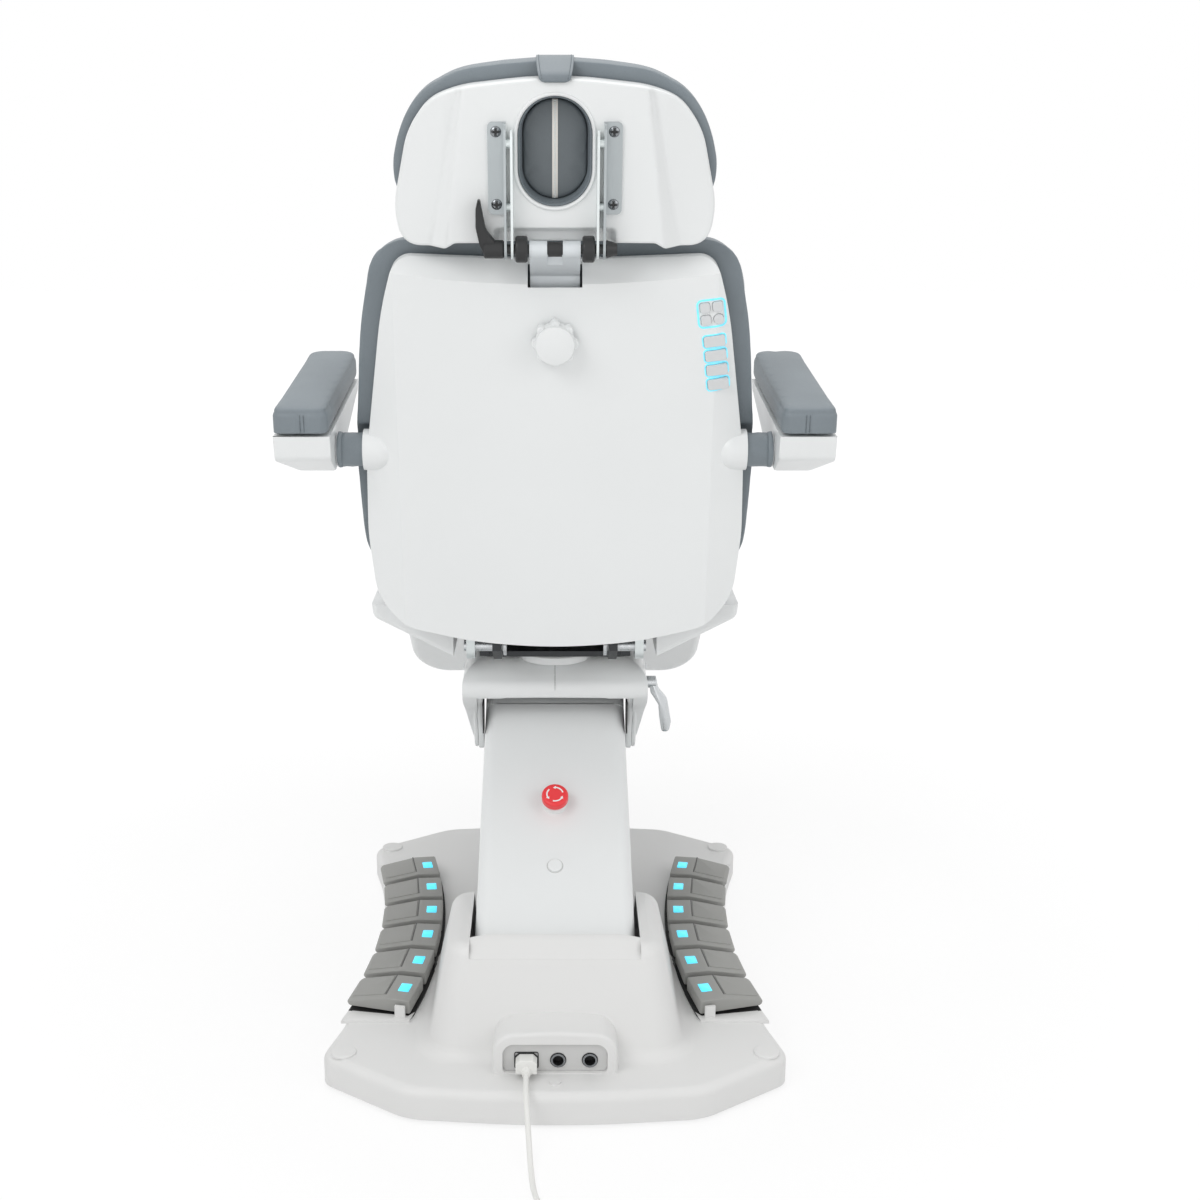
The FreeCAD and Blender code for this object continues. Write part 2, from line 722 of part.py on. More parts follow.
def key_offset(across, up):
    angle = math.radians(KEY_TURN)
    x = KEY_CENTRE[0] + across * math.cos(angle) - up * math.sin(angle)
    z = KEY_CENTRE[1] + across * math.sin(angle) + up * math.cos(angle)
    return x, z


def key_places():
    """Name, centre and size of every key on the back shell."""
    half = KEY_PITCH / 2
    small = {
        "button_memory_1": (-half, half), "button_memory_2": (half, half),
        "button_light": (-half, -half), "button_power": (half, -half),
    }
    keys = [(name, key_offset(*at), (KEY_SIZE, KEY_SIZE)) for name, at in small.items()]
    wide = ["button_height", "button_back", "button_tilt", "button_leg"]
    for k in range(len(wide)):
        keys.append((wide[k], key_offset(0.4, -36 - k * WIDE_KEY_PITCH), WIDE_KEY))
    return keys


def key_prism(size, grow, corner_radius, low, high):
    w = size[0] / 2 + grow
    h = size[1] / 2 + grow
    points = [(x, z, corner_radius) for x, z in ((-w, -h), (w, -h), (w, h), (-w, h))]
    return prism(points, "xz", low, high)


def button(at, size, round_key):
    corner_radius = size[0] / 2 - 0.05 if round_key else 3
    cap = key_prism(size, 0, corner_radius, -68, -50.6)
    cap = eased(cap, 0.9, lambda b: b.YMax < -67.9)
    flange = key_prism(size, 0.9, corner_radius, -52.2, -50.6)
    return on_back(key_frame(joined([cap, flange]), at[0], at[1]))


def back_shell():
    outer = prism(back_outline(), "xz", BACK_REAR, BACK_RIM).common(prism(back_section(0), "xy", 0, 620))
    outer = outer.cut(back_bevel(0))
    inner_wire = outline(back_outline(), "xz", BACK_REAR + 4).makeOffset2D(-4)
    inner = wire_prism(inner_wire, V(0, 60, 0)).common(prism(back_section(4), "xy", 0, 620).fuse(
        box(-270, 270, BACK_RIM - 0.5, 0, 0, 620)))
    inner = inner.cut(back_bevel(5.5))
    dome = joined([
        Part.makeSphere(27, V(232, TUBE_Y, TUBE_Z)), cross_bar(232, 250, TUBE_Y, TUBE_Z, 27)
    ]).common(box(150, 300, BACK_REAR - 10, BACK_RIM, 200, 400))
    shell = joined([outer.cut(inner)] + both(dome.cut(inner)))
    tools = [
        cross_bar(-300, 300, TUBE_Y, TUBE_Z, TUBE_R + 1),
        box(-34, 34, BACK_REAR - 6, -40, 526, 600),
        bar(V(0, -70, KNOB_Z), V(0, -50, KNOB_Z), 7),
        box(71, 89, BACK_REAR + 4.5, 0, 15, 80),
        box(-89, -71, BACK_REAR + 4.5, 0, 15, 80),
    ]
    for name, at, size in key_places():
        corner_radius = size[0] / 2 if name == "button_power" else 3.2
        tools.append(key_frame(key_prism(size, 0.4, corner_radius, -75, -40), at[0], at[1]))
    return on_back(less(shell, tools))


def back_frame():
    side = [
        (-58, 20, 0), (-58, 90, 0), (-36, 90, 0), (-30, 62, 10), (12, 16, 14), (16, -14, 14), (-14, -16, 14)
    ]
    lug = prism(side, "yz", 74, 86)
    upright = box(74, 86, -58, -36, 60, 520)
    tie_low = box(-80, 80, -58, -48, 150, 175)
    tie_high = box(-80, 80, -58, -40, 440, 500)
    tube = cross_bar(-TUBE_END, TUBE_END, TUBE_Y, TUBE_Z, TUBE_R)
    guide = box(-38, 38, -57, -38, 420, 522)
    shape = joined(both(lug) + both(upright) + [tie_low, tie_high, tube, guide])
    tools = [
        box(-31.3, 31.3, -50.3, -44.7, 400, 540),
        cross_bar(-120, 120, 0, 0, HINGE_R + 0.05),
        bar(V(0, -70, KNOB_Z), V(0, -50, KNOB_Z), 6.6),
    ]
    return on_back(less(shape, tools))


def back_cushion():
    half = [
        (0, 75, 900), (150, 80, 300), (225, 100, 60), (256, 160, 120), (262, 300, 500), (250, 460, 500),
        (228, 584, 55), (0, 582, 3000),
    ]
    pad = cushion(symmetric(half), "xz", -26, 62, 8, 26)
    groove = cross_bar(-300, 300, TUBE_Y, TUBE_Z, TUBE_R + 1)
    return on_back(less(pad, [groove] + both(cross_bar(200, 300, TUBE_Y, TUBE_Z, 28))))


def back_hinge_pins():
    pins = []
    for sign in (-1, 1):
        shank = cross_bar(sign * 68, sign * 128, BACK_PIN.y, BACK_PIN.z, HINGE_R)
        washer = cross_bar(sign * 68, sign * 72.5, BACK_PIN.y, BACK_PIN.z, 14)
        pins.append(joined([shank, washer]))
    return pins


def headrest_knob():
    lobes = [bar(V(20 * math.cos(a), -84, 20 * math.sin(a)), V(20 * math.cos(a), -68, 20 * math.sin(a)), 6.2)
             for a in [2 * math.pi * k / 8 for k in range(8)]]
    disc = bar(V(0, -84, 0), V(0, -68, 0), 21.5)
    face = Part.makeCone(23.5, 19, 8, V(0, -84, 0), V(0, -1, 0))
    shaft = bar(V(0, -70, 0), V(0, -53, 0), 6)
    shape = joined([disc, face, shaft] + lobes)
    shape.translate(V(0, 0, KNOB_Z))
    return on_back(shape)


def headrest_stem():
    side = [(-50, 428, 0), (-45, 428, 0), (-45, 545, 4), (-96, 590, 0), (-104, 584, 0), (-50, 538, 4)]
    blade = prism(side, "yz", -31, 31)
    collar = cross_bar(-31, 31, ROD_Y, ROD_Z, 10)
    tools = [
        cross_bar(-40, 40, ROD_Y, ROD_Z, ROD_R),
        box(-9.5, 9.5, -130, -72, 555, 610),
    ]
    return on_back(less(joined([blade, collar]), tools))


def headrest_rollers():
    rod = cross_bar(-80, 64, ROD_Y, ROD_Z, ROD_R)
    rollers = [eased(cross_bar(33, 48, ROD_Y, ROD_Z, 16), 3, lambda b: b.XLength < 0.1)]
    rollers.append(mirrored(rollers[0]))
    band = cross_bar(-8.5, 8.5, ROD_Y, ROD_Z, 9)
    cap = Part.makeCone(11, 7, 13, V(62, ROD_Y, ROD_Z), ACROSS)
    return on_back(joined([rod, band, cap] + rollers))


def headrest_arm():
    inner = prism([(-112, 570, 11), (-88.5, 570, 11), (-88.5, 722, 6), (-104, 722, 10)], "yz", 50, 53)
    outer = prism([(-112, 570, 11), (-88.5, 570, 11), (-88.0, 730, 2), (-104, 730, 10)], "yz", 58, 61)
    flange = prism([(58, 622, 0), (80, 622, 6), (80, 730, 6), (58, 730, 0)], "xz", -91.5, HEAD_REAR)
    spacers = [cross_bar(52, 59, -97, z, 5) for z in (632, 706)]
    shape = joined([inner, outer, flange] + spacers)
    return less(shape, [cross_bar(40, 70, ROD_Y, ROD_Z, ROD_R + 0.05)])


def headrest_arms():
    return [on_back(s) for s in both(headrest_arm())]


def headrest_outline():
    half = [
        (118, 594, 14), (138, 579, 14), (188, 579, 32), (199, 625, 200), (180, 722, 200), (140, 779, 70),
        (0, 785, 900),
    ]
    return symmetric(half)


def headrest_section(inset):
    half = [(128 - 0.3 * inset, HEAD_REAR + inset, 60), (200 - inset, -66, 25), (208 - inset, HEAD_RIM, 0)]
    return symmetric(half)


def headrest_shell():
    outer = prism(headrest_outline(), "xz", HEAD_REAR, HEAD_RIM)
    outer = outer.common(prism(headrest_section(0), "xy", 500, 900))
    inner_wire = outline(headrest_outline(), "xz", HEAD_REAR + 4).makeOffset2D(-4)
    inner = wire_prism(inner_wire, V(0, 60, 0)).common(prism(headrest_section(4), "xy", 500, 900).fuse(
        box(-260, 260, HEAD_RIM - 0.5, 0, 500, 900)))
    shell = joined([outer.cut(inner), upright_oval(4.5, HEAD_REAR - 3, HEAD_RIM)])
    return on_back(less(shell, [upright_oval(0, -120, 0)]))


def upright_oval(grow, low, high):
    """Prism along y with the breathing hole's outline, grown by a margin."""
    u = HOLE_HALF[0] + grow
    v = HOLE_HALF[1] + grow
    points = [(x, HOLE_Z + z, u - 0.1) for x, z in ((-u, -v), (u, -v), (u, v), (-u, v))]
    return prism(points, "xz", low, high)


def headrest_cushion():
    half = [(0, 608, 900), (182, 606, 45), (206, 660, 200), (190, 732, 200), (146, 796, 75), (0, 800, 900)]
    pad = cushion(symmetric(half), "xz", HEAD_RIM, 6, 8, 22)
    return on_back(pad.cut(upright_oval(0.4, -90, 20)))


def headrest_plug():
    plug = upright_oval(-1, -72, 2)
    return on_back(eased(plug, 9, lambda b: b.YLength < 0.1))


def headrest_clamp_lever():
    hub = cross_bar(-86, -61.6, ROD_Y, ROD_Z, 11)
    side = [
        (-70, 574, 4), (-84, 573, 4), (-94, 602, 20), (-95, 648, 6), (-87, 654, 5), (-82, 640, 20),
        (-79, 606, 20), (-70, 592, 4),
    ]
    handle = prism(side, "xz", ROD_Y - 7, ROD_Y + 7)
    shape = joined([hub, handle])
    return on_back(less(shape, [cross_bar(-80.5, -50, ROD_Y, ROD_Z, ROD_R + 0.05)]))


def armrest_pin():
    pin = V(0, TUBE_Y, TUBE_Z)
    angle = math.radians(BACK_LEAN)
    y = pin.y * math.cos(angle) - pin.z * math.sin(angle)
    z = pin.y * math.sin(angle) + pin.z * math.cos(angle)
    return BACK_PIN + V(0, y, z)


def armrest_housing(sign):
    side = [(-60, 2, 14), (-12, -26, 16), (50, -27, 14), (252, 18, 12), (262, 34, 0), (-64, 34, 0)]
    solid = prism(side, "yz", ARMREST_IN, ARMREST_OUT - 4)
    solid = eased(solid, 6, lambda b: b.XLength < 0.1 and b.ZMin < 33.9)
    solid = solid.cut(cross_bar(ARMREST_IN - 5, TUBE_END + 2, 0, 0, TUBE_R + 0.06))
    shape = turned(solid, armrest_pin(), ARMREST_TILT)
    return shape if sign > 0 else mirrored(shape)


def armrest_cushion(sign):
    plan = [
        (ARMREST_IN - 2, -72, 16), (ARMREST_OUT, -72, 16), (ARMREST_OUT, 292, 30), (ARMREST_IN - 2, 292, 30)
    ]
    shape = turned(cushion(plan, "xy", 34, 76, 4, 13), armrest_pin(), ARMREST_TILT)
    return shape if sign > 0 else mirrored(shape)


def save(name, shape):
    """Write one node, with the origin moved from the base's middle to the middle of the whole chair."""
    solids = shape if isinstance(shape, list) else [shape]
    whole = solids[0] if len(solids) == 1 else Part.makeCompound(solids)
    whole.translate(V(0, -MIDDLE_Y, 0))
    whole.exportStep("parts/" + name + ".step")


def main():
    os.makedirs("parts", exist_ok=True)
    save("base_cover", base_cover())
    save("base_chassis", [chassis_frame(), control_box(), lift_motor()])
    save("levelling_feet", levelling_feet())
    save("socket_panel", socket_panel())
    save("socket_surround", socket_surround())
    save("lift_rod", lift_rod())
    save("mains_connector", mains_connector())
    save("mains_cord", cord_tube(CORD_ROUTE, CORD_R))
    save("mains_cord_coil", mains_cord_coil())
    save("mains_wall_plug", mains_wall_plug())
    for side in ("left", "right"):
        for k in range(PEDALS_PER_SIDE):
            save("pedal_%s_%d" % (side, k + 1), pedal(side, k))
    save("arm_cover", arm_cover())
    save("arm_beam", arm_beam())
    save("arm_pivot_pins", arm_pivot_pins())
    save("levelling_link", levelling_link())
    save("e_stop_head", e_stop_head())
    save("yoke_frame", yoke_frame())
    save("yoke_covers", yoke_covers())
    save("swivel_brake_lever", swivel_brake_lever())
    save("turntable", turntable())
    save("seat_frame", [seat_frame(), seat_motor(-45, 60, 205), seat_motor(45, 245, 400)])
    save("seat_shell", seat_shell())
    save("seat_cushion", seat_cushion())
    save("legrest_frame", legrest_frame())
    save("legrest_cushion", legrest_cushion())
    save("back_frame", back_frame())
    save("back_shell", back_shell())
    save("back_cushion", back_cushion())
    save("back_hinge_pins", back_hinge_pins())
    save("headrest_knob", headrest_knob())
    for name, at, size in key_places():
        save(name, button(at, size, name == "button_power"))
    save("headrest_stem", headrest_stem())
    save("headrest_rollers", headrest_rollers())
    save("headrest_arms", headrest_arms())
    save("headrest_shell", headrest_shell())
    save("headrest_cushion", headrest_cushion())
    save("headrest_plug", headrest_plug())
    save("headrest_clamp_lever", headrest_clamp_lever())
    for side, sign in (("left", -1), ("right", 1)):
        save("armrest_housing_" + side, armrest_housing(sign))
        save("armrest_cushion_" + side, armrest_cushion(sign))


main()
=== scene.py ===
import json
import math

import bmesh
import bpy
from mathutils import Matrix, Vector
from mathutils.bvhtree import BVHTree
from mathutils.kdtree import KDTree

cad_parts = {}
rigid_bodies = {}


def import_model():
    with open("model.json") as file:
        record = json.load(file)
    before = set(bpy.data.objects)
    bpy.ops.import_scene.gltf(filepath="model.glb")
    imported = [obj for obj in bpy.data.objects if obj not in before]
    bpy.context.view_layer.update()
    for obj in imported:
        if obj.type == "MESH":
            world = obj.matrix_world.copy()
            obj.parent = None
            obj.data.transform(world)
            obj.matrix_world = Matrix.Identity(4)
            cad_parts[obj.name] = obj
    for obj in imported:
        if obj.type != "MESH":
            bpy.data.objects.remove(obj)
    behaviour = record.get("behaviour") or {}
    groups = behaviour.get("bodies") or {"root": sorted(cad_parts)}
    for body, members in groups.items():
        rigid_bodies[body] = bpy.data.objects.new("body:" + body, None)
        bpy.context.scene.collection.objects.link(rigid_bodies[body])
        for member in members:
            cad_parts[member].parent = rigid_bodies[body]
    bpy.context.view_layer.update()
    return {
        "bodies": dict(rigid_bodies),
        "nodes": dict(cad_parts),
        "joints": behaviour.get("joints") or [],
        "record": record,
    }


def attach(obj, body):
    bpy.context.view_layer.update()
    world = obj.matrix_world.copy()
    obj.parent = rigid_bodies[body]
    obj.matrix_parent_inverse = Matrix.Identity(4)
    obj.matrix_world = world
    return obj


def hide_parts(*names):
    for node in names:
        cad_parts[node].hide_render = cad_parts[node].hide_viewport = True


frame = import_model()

NODES = frame["nodes"]
SCENE = bpy.context.scene
MM = 0.001
MIDDLE = 138.42  # how far the frame's origin lies ahead of the base's middle, mm


def rotated(degrees, axis):
    return Matrix.Rotation(math.radians(degrees), 4, axis)


def moved(x, y, z):
    return Matrix.Translation((x, y, z))


def placed(y, z, degrees=0.0):
    """Frame of a sub-assembly: millimetres inside it become metres in the scene."""
    spot = Matrix.Translation(Vector((0, y - MIDDLE, z)) * MM)
    return spot @ rotated(degrees, "X") @ Matrix.Scale(MM, 4)


def facing(axis):
    """Turns local +Z to look along an axis."""
    return rotated(*{"-Y": (90, "X"), "+X": (90, "Y"), "-X": (-90, "Y")}[axis])


BACK_PIN = (-15, 500)  # axis of the back's hinge: y and z in the base's frame
ARMREST_PIN = (0, -38, 305)  # middle of the armrests' axis in the back's frame
BASE = placed(0, 0)
ARM = placed(-252, 125, 35)
BACK = placed(*BACK_PIN, 10)
LEG = placed(434, 520, -55)
REST = moved(*(BACK @ Vector(ARMREST_PIN))) @ rotated(6, "X") @ Matrix.Scale(MM, 4)
SIDES = (("left", -1), ("right", 1))


def linked(name, data):
    """New object in the scene."""
    made = bpy.data.objects.new(name, data)
    SCENE.collection.objects.link(made)
    return made


# Camera

lens = bpy.data.cameras.new("camera")
lens.lens = 49.5
lens.sensor_width = 36
lens.shift_x = 0.0375
lens.shift_y = -0.0042
camera = linked("camera", lens)
camera.location = BASE @ Vector((0, -2249, 1147))
camera.rotation_euler = (math.radians(75.6), 0, 0)
SCENE.camera = camera


# Materials

def linear(rgb):
    def one(c):
        c = c / 255
        return c / 12.92 if c <= 0.04045 else ((c + 0.055) / 1.055) ** 2.4
    return (*[one(c) for c in rgb], 1)


def shader(name):
    made = bpy.data.materials.new(name)
    made.use_nodes = True
    return made, made.node_tree, made.node_tree.nodes["Principled BSDF"]


def feed(tree, node, **inputs):
    """Sets a node's inputs to values or links them to other nodes' outputs; _ stands for a space."""
    for name, value in inputs.items():
        socket = node.inputs[name.replace("_", " ")]
        if isinstance(value, bpy.types.NodeSocket):
            tree.links.new(value, socket)
        else:
            socket.default_value = value
    return node


def added(tree, kind, **inputs):
    return feed(tree, tree.nodes.new("ShaderNode" + kind), **inputs)


def blotches(tree, scale, detail, stretch=(1, 1, 1)):
    """Noise in the object's own space, and the place it is read at."""
    place = added(tree, "TexCoord").outputs["Object"]
    place = added(tree, "Mapping", Vector=place, Scale=stretch).outputs["Vector"]
    return added(tree, "TexNoise", Vector=place, Scale=scale, Detail=detail).outputs["Fac"], place


def ramp(tree, source, low, high, colours):
    made = added(tree, "ValToRGB", Fac=source)
    for element, position, colour in zip(made.color_ramp.elements, (low, high), colours):
        element.position = position
        element.color = colour
    return made.outputs["Color"]


def spread(tree, source, low, high, start=0.3, end=0.7):
    """Carries the span from start to end over to the span from low to high."""
    made = added(tree, "MapRange", Value=source, From_Min=start, From_Max=end, To_Min=low, To_Max=high)
    return made.outputs["Result"]


def relief(tree, height, strength, depth):
    return added(tree, "Bump", Height=height, Strength=strength, Distance=depth).outputs["Normal"]


def moulded(name, rgb, rough, contrast, grain, depth=0.00006, coat=0.0, metal=0.0, stretch=(1, 1, 1)):
    """Plastic, paint or metal with faint mottling and a fine surface texture."""
    made, tree, bsdf = shader(name)
    broad, _ = blotches(tree, 5, 1)
    fine, _ = blotches(tree, grain, 2, stretch)
    dark = linear([c * (1 - contrast) for c in rgb])
    pale = linear([min(255, c * (1 + contrast)) for c in rgb])
    feed(tree, bsdf, Base_Color=ramp(tree, broad, 0.3, 0.7, (dark, pale)), Metallic=metal,
         Roughness=spread(tree, fine, rough - 0.06, rough + 0.06), Normal=relief(tree, fine, 0.35, depth))
    if coat:
        feed(tree, bsdf, Coat_Weight=coat, Coat_Roughness=0.2)
    return made


def leather(name, rgb):
    """Coated upholstery: pebbled grain with soft mottling, a little paler on the pebbles."""
    made, tree, bsdf = shader(name)
    broad, place = blotches(tree, 9, 4)
    cells = added(tree, "TexVoronoi", Vector=place, Scale=620)
    cells.feature = "DISTANCE_TO_EDGE"
    pebbles = cells.outputs["Distance"]
    fine, _ = blotches(tree, 1500, 2)
    dark, pale = (linear([c * share for c in rgb]) for share in (0.97, 1.02))
    mix = tree.nodes.new("ShaderNodeMix")
    mix.data_type = "RGBA"
    mix.blend_type = "MULTIPLY"
    feed(tree, mix, Factor=0.6, A=ramp(tree, broad, 0.3, 0.7, (dark, pale)),
         B=ramp(tree, pebbles, 0.0, 0.12, ((0.84, 0.84, 0.84, 1), (1, 1, 1, 1))))
    feed(tree, bsdf, Base_Color=mix.outputs["Result"], Roughness=spread(tree, fine, 0.43, 0.57),
         Normal=relief(tree, pebbles, 0.3, 0.0004))
    return made


def glowing(name, rgb, strength):
    """Lit window: glow that falls off a little in patches, as behind a diffuser."""
    made, tree, bsdf = shader(name)
    broad, _ = blotches(tree, 160, 2)
    tone = ramp(tree, broad, 0.25, 0.75, (linear([c * 0.9 for c in rgb]), linear(rgb)))
    feed(tree, bsdf, Base_Color=tone, Emission_Color=tone, Emission_Strength=strength, Roughness=0.35)
    return made


BRUSHED = (1, 1, 0.05)  # stretch of the grain on drawn metal
WHITE = moulded("shell_white", (238, 240, 240), 0.34, 0.004, 1100, 0.00004, coat=0.15)
BASE_WHITE = moulded("base_white", (230, 230, 229), 0.48, 0.006, 800, 0.00008)
PEDAL_GREY = moulded("pedal_grey", (160, 160, 157), 0.55, 0.02, 700, 0.00012)
# Dark grey for the pin posts between the pedals and the strip at each pedal's fold: painted shade
PEDAL_PAINTED_SHADE = moulded("pedal_painted_shade", (96, 96, 95), 0.6, 0.03, 700, 0.00012)
KEY_GREY = moulded("key_grey", (216, 218, 219), 0.42, 0.02, 1000)
PANEL_GREY = moulded("panel_grey", (206, 206, 205), 0.5, 0.015, 900)
DARK_STEEL = moulded("steel_dark", (62, 64, 66), 0.5, 0.06, 500, 0.0001, metal=0.6)
BRIGHT_STEEL = moulded("steel_bright", (205, 208, 210), 0.3, 0.03, 420, 0.00005, metal=0.85, stretch=BRUSHED)
CHROME = moulded("chrome", (214, 216, 218), 0.14, 0.02, 300, 0.00002, metal=1.0)
ZINC = moulded("zinc_plate", (222, 228, 228), 0.36, 0.03, 380, 0.00005, metal=0.55, stretch=BRUSHED)
BRACKET = moulded("bracket_steel", (168, 174, 176), 0.34, 0.03, 380, 0.00005, metal=0.75, stretch=BRUSHED)
SCREW_STEEL = moulded("screw_steel", (138, 141, 144), 0.24, 0.03, 500, 0.00003, metal=1.0)
PALE_CAST = moulded("cast_pale", (218, 223, 226), 0.42, 0.03, 260, 0.0002, metal=0.2)
BLACK = moulded("plastic_black", (34, 35, 36), 0.42, 0.08, 700, 0.00008)
RUBBER = moulded("rubber_black", (24, 24, 25), 0.7, 0.1, 600, 0.0001)
RED = moulded("stop_red", (238, 52, 58), 0.35, 0.03, 900, 0.00004, coat=0.2)
MARK_WHITE = moulded("mark_white", (244, 244, 244), 0.5, 0.02, 900)
CORD_WHITE = moulded("cord_white", (236, 236, 233), 0.45, 0.02, 1200, 0.00005)
THREAD = moulded("thread_grey", (104, 112, 118), 0.7, 0.06, 2500, 0.0001)
ZIP_WHITE = moulded("zip_white", (226, 222, 216), 0.6, 0.04, 1800, 0.0002)
LEATHER = leather("upholstery", (128, 137, 143))
# Darker copy of the upholstery for the plug sunk in the headrest's hole, painted shade of its recess
PLUG_LEATHER_SHADED = leather("upholstery_shaded", (104, 111, 115))
CYAN = glowing("lit_cyan", (88, 226, 255), 0.75)
CYAN_RIM = glowing("lit_rim", (120, 226, 250), 0.55)


# Mesh building, in the millimetres of a sub-assembly's frame

def piece(name, shape, where, body, material, sharp=38):
    """Adds a shape to the scene, riding a body; edges over the sharp angle in degrees stay crisp."""
    shape.transform(where)
    bmesh.ops.recalc_face_normals(shape, faces=shape.faces)
    mesh = bpy.data.meshes.new(name)
    shape.to_mesh(mesh)
    shape.free()
    mesh.shade_smooth()
    mesh.set_sharp_from_angle(angle=math.radians(sharp))
    mesh.materials.append(material)
    made = linked(name, mesh)
    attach(made, body)
    return made


def skin(shape, rings, caps=True):
    """Joins closed rings of points with faces."""
    rows = [[shape.verts.new(p) for p in ring] for ring in rings]
    count = len(rows[0])
    for low, high in zip(rows, rows[1:]):
        for i in range(count):
            j = (i + 1) % count
            shape.faces.new((low[i], low[j], high[j], high[i]))
    if caps:
        shape.faces.new(rows[0])
        shape.faces.new(rows[-1])
    return shape


def circle(radius, count):
    """Points of a circle about the origin."""
    angles = [2 * math.pi * k / count for k in range(count)]
    return [(radius * math.cos(a), radius * math.sin(a)) for a in angles]


def lathe(profile, count=40):
    """Turns (radius, height) pairs about local +Z."""
    return skin(bmesh.new(), [[(x, y, height) for x, y in circle(r, count)] for r, height in profile])


def rounded(width, height, radius, steps=6):
    """Outline of a rounded rectangle about the origin."""
    points = []
    for cx, cy, turn in ((1, 1, 0), (-1, 1, 90), (-1, -1, 180), (1, -1, 270)):
        for k in range(steps + 1):
            a = math.radians(turn + 90 * k / steps)
            x = cx * (width / 2 - radius) + radius * math.cos(a)
            points.append((x, cy * (height / 2 - radius) + radius * math.sin(a)))
    return points


def inset(points, amount):
    """Outline moved inwards by an amount."""
    made = []
    count = len(points)
    for i in range(count):
        a, b, c = (Vector(points[(i + k) % count]) for k in (-1, 0, 1))
        edges = [e.normalized() for e in (b - a, c - b) if e.length > 1e-6]
        normal = sum((Vector((-e.y, e.x)) for e in edges), Vector((0, 0))).normalized()
        made.append(tuple(b + normal * amount))
    return made


def slab(points, low, high, rim, shape=None, lift=None):
    """Plate with eased rims between two heights; lift gives the height of the ground under it."""
    shape = shape or bmesh.new()
    lift = lift or (lambda x, y: 0.0)
    levels = [(0, low), (0, high - rim), (rim * 0.3, high - rim * 0.3), (rim, high)]
    rings = []
    for amount, height in levels:
        ring = inset(points, amount) if amount else points
        rings.append([(x, y, height + lift(x, y)) for x, y in ring])
    return skin(shape, rings)


def cornered(corners, steps=6):
    """Outline of (x, y, radius) corners, counter-clockwise."""
    area = sum(a[0] * b[1] - b[0] * a[1] for a, b in zip(corners, corners[1:] + corners[:1]))
    corners = corners if area > 0 else corners[::-1]
    points = []
    for i, (x, y, radius) in enumerate(corners):
        here = Vector((x, y))
        before = Vector(corners[i - 1][:2]) - here
        after = Vector(corners[(i + 1) % len(corners)][:2]) - here
        reach = min(radius / math.tan(before.angle(after) / 2), before.length * 0.49, after.length * 0.49)
        if reach < 0.1:
            points.append(tuple(here))
            continue
        start = here + before.normalized() * reach
        end = here + after.normalized() * reach
        for k in range(steps + 1):
            t = k / steps
            points.append(tuple(start * (1 - t) ** 2 + here * 2 * t * (1 - t) + end * t * t))
    return points


def both_sides(half):
    """Whole outline from its right half, which runs from the bottom to the top."""
    return half + [(-x, y, r) for x, y, r in reversed(half) if x > 0.01]


def plate(points, low, high, rim):
    """Plate with eased rims on both faces."""
    levels = [(rim, low), (rim * 0.3, low + rim * 0.3), (0, low + rim)]
    levels += [(0, high - rim), (rim * 0.3, high - rim * 0.3), (rim, high)]
    return skin(bmesh.new(), [[(x, y, h) for x, y in inset(points, amount)] for amount, h in levels])


def merged(*shapes):
    """One shape from several."""
    whole = bmesh.new()
    for shape in shapes:
        part = bpy.data.meshes.new("part")
        shape.to_mesh(part)
        shape.free()
        whole.from_mesh(part)
        bpy.data.meshes.remove(part)
    return whole


def turned_to(shape, where):
    shape.transform(where)
    return shape


def tube(path, radius, count=10, shape=None):
    """Round bar along a list of points with eased ends."""
    shape = shape or bmesh.new()
    points = [Vector(p) for p in path]
    ahead = (points[1] - points[0]).normalized()
    side = ahead.orthogonal().normalized()
    rings = []
    for i, p in enumerate(points):
        a = points[max(i - 1, 0)]
        b = points[min(i + 1, len(points) - 1)]
        ahead = (b - a).normalized()
        side = (side - ahead * side.dot(ahead)).normalized()
        other = ahead.cross(side)
        radii = [(0.0, 1.0)]
        if i == 0:
            radii = [(-0.5, 0.55), (-0.2, 0.9), (0.0, 1.0)]
        elif i == len(points) - 1:
            radii = [(0.0, 1.0), (0.2, 0.9), (0.5, 0.55)]
        for along, share in radii:
            spot = p + ahead * along * radius
            rings.append([spot + (side * c + other * s) * radius * share for c, s in circle(1, count)])
    return skin(shape, rings)


def dashes(shape, a, b, pitch, radius):
    """Row of short threads along a straight stretch."""
    count = max(1, round((b - a).length / pitch))
    for k in range(count):
        tube([a.lerp(b, (k + 0.15) / count), a.lerp(b, (k + 0.85) / count)], radius, 6, shape)


def screw(radius, height):
    """Domed screw head with a pressed cross, looking along local +Z."""
    rings = []
    for share in (1.0, 0.97, 0.9, 0.75, 0.6, 0.48, 0.36, 0.24, 0.12):
        top = height * math.sqrt(1 - share * share)
        ring = []
        for x, y in circle(share, 32):
            pressed = share < 0.62 and min(abs(x), abs(y)) < 0.15
            ring.append((x * radius, y * radius, top - height * 0.5 * pressed))
        rings.append(ring)
    return skin(bmesh.new(), rings)


def dress(material, *names):
    for name in names:
        mesh = NODES[name].data
        mesh.materials.clear()
        mesh.materials.append(material)


def paint(name, material, inside):
    """Gives the faces of a CAD node whose middles pass a test, in base millimetres, their own material."""
    mesh = NODES[name].data
    mesh.materials.append(material)
    index = len(mesh.materials) - 1
    back = BASE.inverted()
    for face in mesh.polygons:
        if inside(back @ face.center):
            face.material_index = index


UPRIGHT = facing("-Y")  # drawn in x and z, thick towards the rear
SIDEWAYS = Matrix(((0, 0, 1, 0), (1, 0, 0, 0), (0, 1, 0, 0), (0, 0, 0, 1)))  # drawn in y and z, thick along x


# Mains cord: the route of the CAD tube, then the wound turns, then the run into the plug

